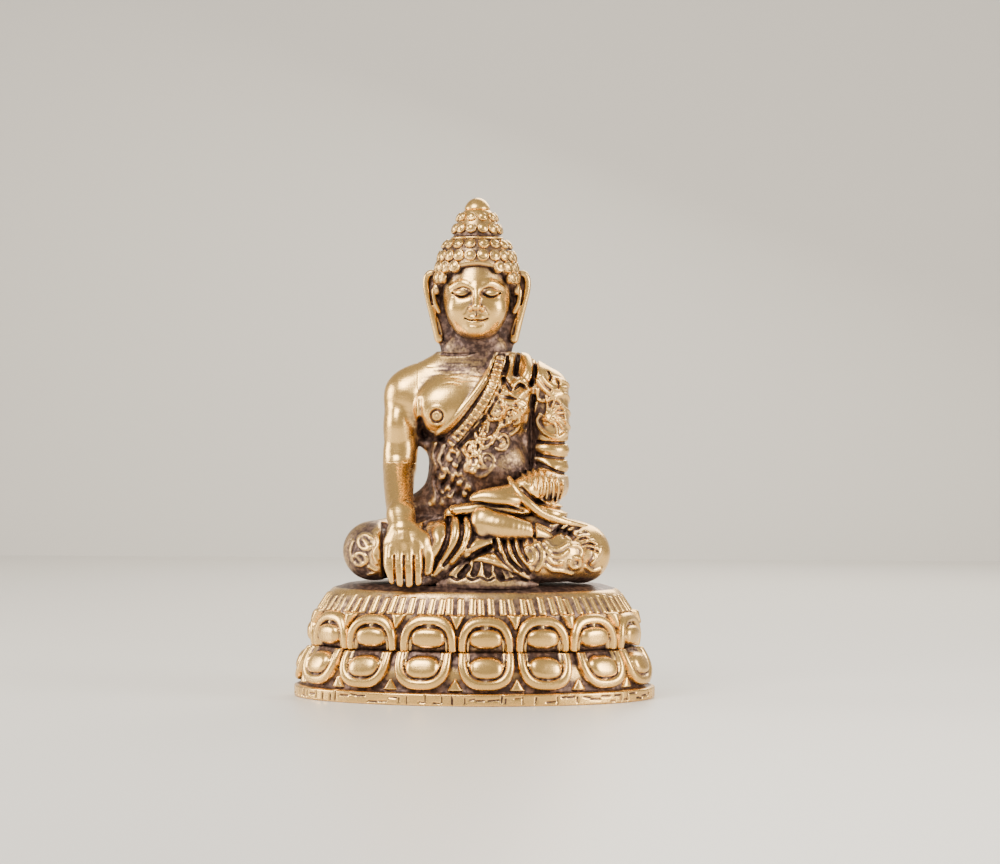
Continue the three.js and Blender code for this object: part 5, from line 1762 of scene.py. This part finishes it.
LIGHTS = (  # name, place in metres, side, share of the light power, colour
    ("key_light", (-0.16, -0.22, 0.3), 0.2, 0.5, (1.0, 0.97, 0.92)),
    ("side_light", (0.3, -0.14, 0.12), 0.16, 0.33, (1.0, 0.95, 0.86)),
    ("left_light", (-0.3, 0.02, 0.1), 0.14, 0.2, (1.0, 0.96, 0.88)),
    ("back_light", (0.1, 0.3, 0.26), 0.25, 0.4, (1.0, 0.95, 0.85)),
)
SKY, SKY_STRENGTH = (0.95, 0.89, 0.8, 1), 0.55
SIDE, BEHIND, WALL_FOOT, WALL_TOP = 900, 520, 420, 700  # of the floor and the leaning wall, in millimetres
SENSOR = 36.0


def square_light(name, place, target, size, watts, color):
    """A square lamp that faces a target."""
    data = bpy.data.lights.new(name, "AREA")
    data.shape = "SQUARE"
    data.size = size
    data.energy, data.color = watts, color
    light = new_object(name, data)
    light.location = place
    light.rotation_euler = (Vector(target) - Vector(place)).to_track_quat("-Z", "Y").to_euler()


def backdrop(name, near, far, rise, roughness, look):
    """A wide quad from one depth to another, rising as it goes."""
    corners = [(-SIDE, near, 0), (SIDE, near, 0), (SIDE, far, rise), (-SIDE, far, rise)]
    sheet = mesh_piece(name, np.array(corners), [[0, 1, 2, 3]])
    material = bpy.data.materials.new(name + "_paint")
    material.use_nodes = True
    shader = material.node_tree.nodes["Principled BSDF"]
    shader.inputs["Base Color"].default_value = (*look.floor_color, 1.0)
    shader.inputs["Roughness"].default_value = roughness
    sheet.data.materials.append(material)
    return sheet


def build_stage(look):
    floor = backdrop("studio_floor", -SIDE, SIDE, 0, 0.38, look)
    wall = backdrop("studio_wall", WALL_FOOT, BEHIND, WALL_TOP, 0.9, look)

    middle = (0, 0, TOTAL_HEIGHT * MM * 0.5)
    for name, place, size, share, color in LIGHTS:
        square_light(name, place, middle, size, look.light_power * share, color)

    world = bpy.data.worlds.new("studio_light")
    bpy.context.scene.world = world
    world.use_nodes = True
    background = world.node_tree.nodes["Background"]
    background.inputs["Color"].default_value = SKY
    background.inputs["Strength"].default_value = SKY_STRENGTH

    camera = new_object("camera", bpy.data.cameras.new("camera"))
    camera.data.lens = look.lens
    camera.data.sensor_width = SENSOR
    camera.data.clip_start, camera.data.clip_end = 0.01, 10.0
    camera.data.dof.use_dof = False
    camera.location = (look.camera_side, -look.camera_distance, look.camera_height)
    camera.rotation_euler = (math.radians(90 - look.camera_pitch), math.radians(-look.camera_roll), 0)
    bpy.context.scene.camera = camera


# ----------------------------------
# The add-on


class BuddhaLook(bpy.types.PropertyGroup):
    """Sizes, colours and light that a user may change"""

    bright: FloatVectorProperty(
        name="Bright brass", description="Colour of the worn high places", subtype="COLOR",
        default=(0.94, 0.585, 0.19), min=0, max=1
    )
    dark: FloatVectorProperty(
        name="Patina", description="Colour of the patina in the hollows", subtype="COLOR",
        default=(0.06, 0.034, 0.028), min=0, max=1
    )
    patina_level: FloatProperty(
        name="Patina level", description="How hollow a place is before patina covers it", default=0.5, min=0,
        max=1, subtype="FACTOR"
    )
    polish: FloatProperty(name="Roughness", description="Roughness of the worn brass", default=0.27, min=0.05,
        max=1, subtype="FACTOR")
    unevenness: FloatProperty(
        name="Unevenness", description="How much the hand-made petals differ", default=0.035, min=0, max=0.2,
        subtype="FACTOR"
    )
    flute_pitch: FloatProperty(
        name="Flute pitch", description="Distance between the ribs of the collar", default=0.00142,
        min=0.0008, max=0.004, unit="LENGTH"
    )
    fine_cell: FloatProperty(
        name="Sculpting cell", description="Size of the finest detail of the figure", default=0.00013,
        min=0.00008, unit="LENGTH"
    )
    floor_color: FloatVectorProperty(
        name="Floor", description="Colour of the studio floor", subtype="COLOR", default=(0.74, 0.71, 0.66),
        min=0, max=1
    )
    light_power: FloatProperty(name="Light", description="Power of the studio lights", default=3.65, min=0,
        unit="POWER")
    lens: FloatProperty(name="Lens", description="Focal length", default=115.2, min=20, unit="CAMERA")
    camera_distance: FloatProperty(name="Camera distance", description="From the object's middle",
        default=0.45, unit="LENGTH")
    camera_height: FloatProperty(name="Camera height", description="Above the floor", default=0.04,
        unit="LENGTH")
    camera_side: FloatProperty(name="Camera side", description="To the right of the middle", default=0.00337,
        unit="LENGTH")
    camera_pitch: FloatProperty(name="Camera pitch", description="Degrees down", default=0.369, min=-20,
        max=60)
    camera_roll: FloatProperty(name="Camera roll", description="Degrees clockwise", default=0.35, min=-10,
        max=10)


BUILT = []


class BuildOperator:
    """What the build operators share"""

    bl_options = {"REGISTER", "UNDO"}

    def execute(self, context):
        look = context.scene.buddha_look
        made = self.build(look, brass(self.finish, look))
        if not made:
            raise RuntimeError(self.bl_label + ": nothing was built")
        BUILT.extend(piece.name for piece in made)
        return {"FINISHED"}


class BUDDHA_OT_lower_lotus(BuildOperator, bpy.types.Operator):
    """Build the lower half of the pedestal: foot band, wall and the petals that open upwards"""

    bl_idname = "buddha.lower_lotus"
    bl_label = "Lower lotus"
    finish, build = "pedestal_brass", staticmethod(build_lower_lotus)


class BUDDHA_OT_upper_lotus(BuildOperator, bpy.types.Operator):
    """Build the upper half of the pedestal: petals that open downwards, fluted collar and deck"""

    bl_idname = "buddha.upper_lotus"
    bl_label = "Upper lotus"
    finish, build = "pedestal_brass", staticmethod(build_upper_lotus)


class BUDDHA_OT_legs(BuildOperator, bpy.types.Operator):
    """Build the crossed legs, the right foot that lies on them and the hem of the robe on the deck"""

    bl_idname = "buddha.legs"
    bl_label = "Legs, foot and hem"
    finish, build = "figure_brass", staticmethod(build_legs)


class BUDDHA_OT_torso(BuildOperator, bpy.types.Operator):
    """Build the torso with its robe, and the barred band that crosses the chest"""

    bl_idname = "buddha.torso"
    bl_label = "Torso and robe band"
    finish, build = "robe_brass", staticmethod(build_torso)


class BUDDHA_OT_right_arm(BuildOperator, bpy.types.Operator):
    """Build the bare right arm, whose hand reaches down to the deck"""

    bl_idname = "buddha.right_arm"
    bl_label = "Right arm"
    finish, build = "bare_brass", staticmethod(build_right_arm)


class BUDDHA_OT_left_arm(BuildOperator, bpy.types.Operator):
    """Build the left sleeve and the hand that lies in the lap"""

    bl_idname = "buddha.left_arm"
    bl_label = "Left sleeve and hand"
    finish, build = "sleeve_brass", staticmethod(build_left_arm)


class BUDDHA_OT_head(BuildOperator, bpy.types.Operator):
    """Build the head and the cap of hair"""

    bl_idname = "buddha.head"
    bl_label = "Head"
    finish, build = "face_brass", staticmethod(build_head)


class BUDDHA_OT_hair_beads(BuildOperator, bpy.types.Operator):
    """Set the beads of hair in rows round the head"""

    bl_idname = "buddha.hair_beads"
    bl_label = "Hair beads"
    finish, build = "figure_brass", staticmethod(build_hair_beads)


class BUDDHA_OT_ushnisha(BuildOperator, bpy.types.Operator):
    """Build the raised crown with its beads, and the drop on top"""

    bl_idname = "buddha.ushnisha"
    bl_label = "Crown and drop"
    finish, build = "figure_brass", staticmethod(build_ushnisha)


class BUDDHA_OT_age(bpy.types.Operator):
    """Work out where the patina and the painted shade lie on every piece"""

    bl_idname = "buddha.age"
    bl_label = "Age the brass"

    def execute(self, context):
        age_pieces([bpy.data.objects[name] for name in BUILT], rough_and_shaded_places())
        return {"FINISHED"}


class BUDDHA_OT_stage(bpy.types.Operator):
    """Set up the floor, the lights and the camera"""

    bl_idname = "buddha.stage"
    bl_label = "Stage"

    def execute(self, context):
        build_stage(context.scene.buddha_look)
        return {"FINISHED"}


OPERATORS = [
    BUDDHA_OT_lower_lotus,
    BUDDHA_OT_upper_lotus,
    BUDDHA_OT_legs,
    BUDDHA_OT_torso,
    BUDDHA_OT_right_arm,
    BUDDHA_OT_left_arm,
    BUDDHA_OT_head,
    BUDDHA_OT_hair_beads,
    BUDDHA_OT_ushnisha,
    BUDDHA_OT_age,
    BUDDHA_OT_stage,
]


class BUDDHA_PT_panel(bpy.types.Panel):
    """Sizes and build steps of the statue"""

    bl_label = "Brass Buddha"
    bl_idname = "BUDDHA_PT_panel"
    bl_space_type = "VIEW_3D"
    bl_region_type = "UI"
    bl_category = "Buddha"

    def draw(self, context):
        for name in BuddhaLook.__annotations__:
            self.layout.prop(context.scene.buddha_look, name)
        for operator in OPERATORS:
            self.layout.operator(operator.bl_idname)


def register():
    for cls in (BuddhaLook, *OPERATORS, BUDDHA_PT_panel):
        bpy.utils.register_class(cls)
    bpy.types.Scene.buddha_look = PointerProperty(type=BuddhaLook)


def unregister():
    del bpy.types.Scene.buddha_look
    for cls in reversed((BuddhaLook, *OPERATORS, BUDDHA_PT_panel)):
        bpy.utils.unregister_class(cls)


def main():
    register()
    for operator in OPERATORS:
        group, name = operator.bl_idname.split(".")
        getattr(getattr(bpy.ops, group), name)()


if __name__ == "__main__":
    main()
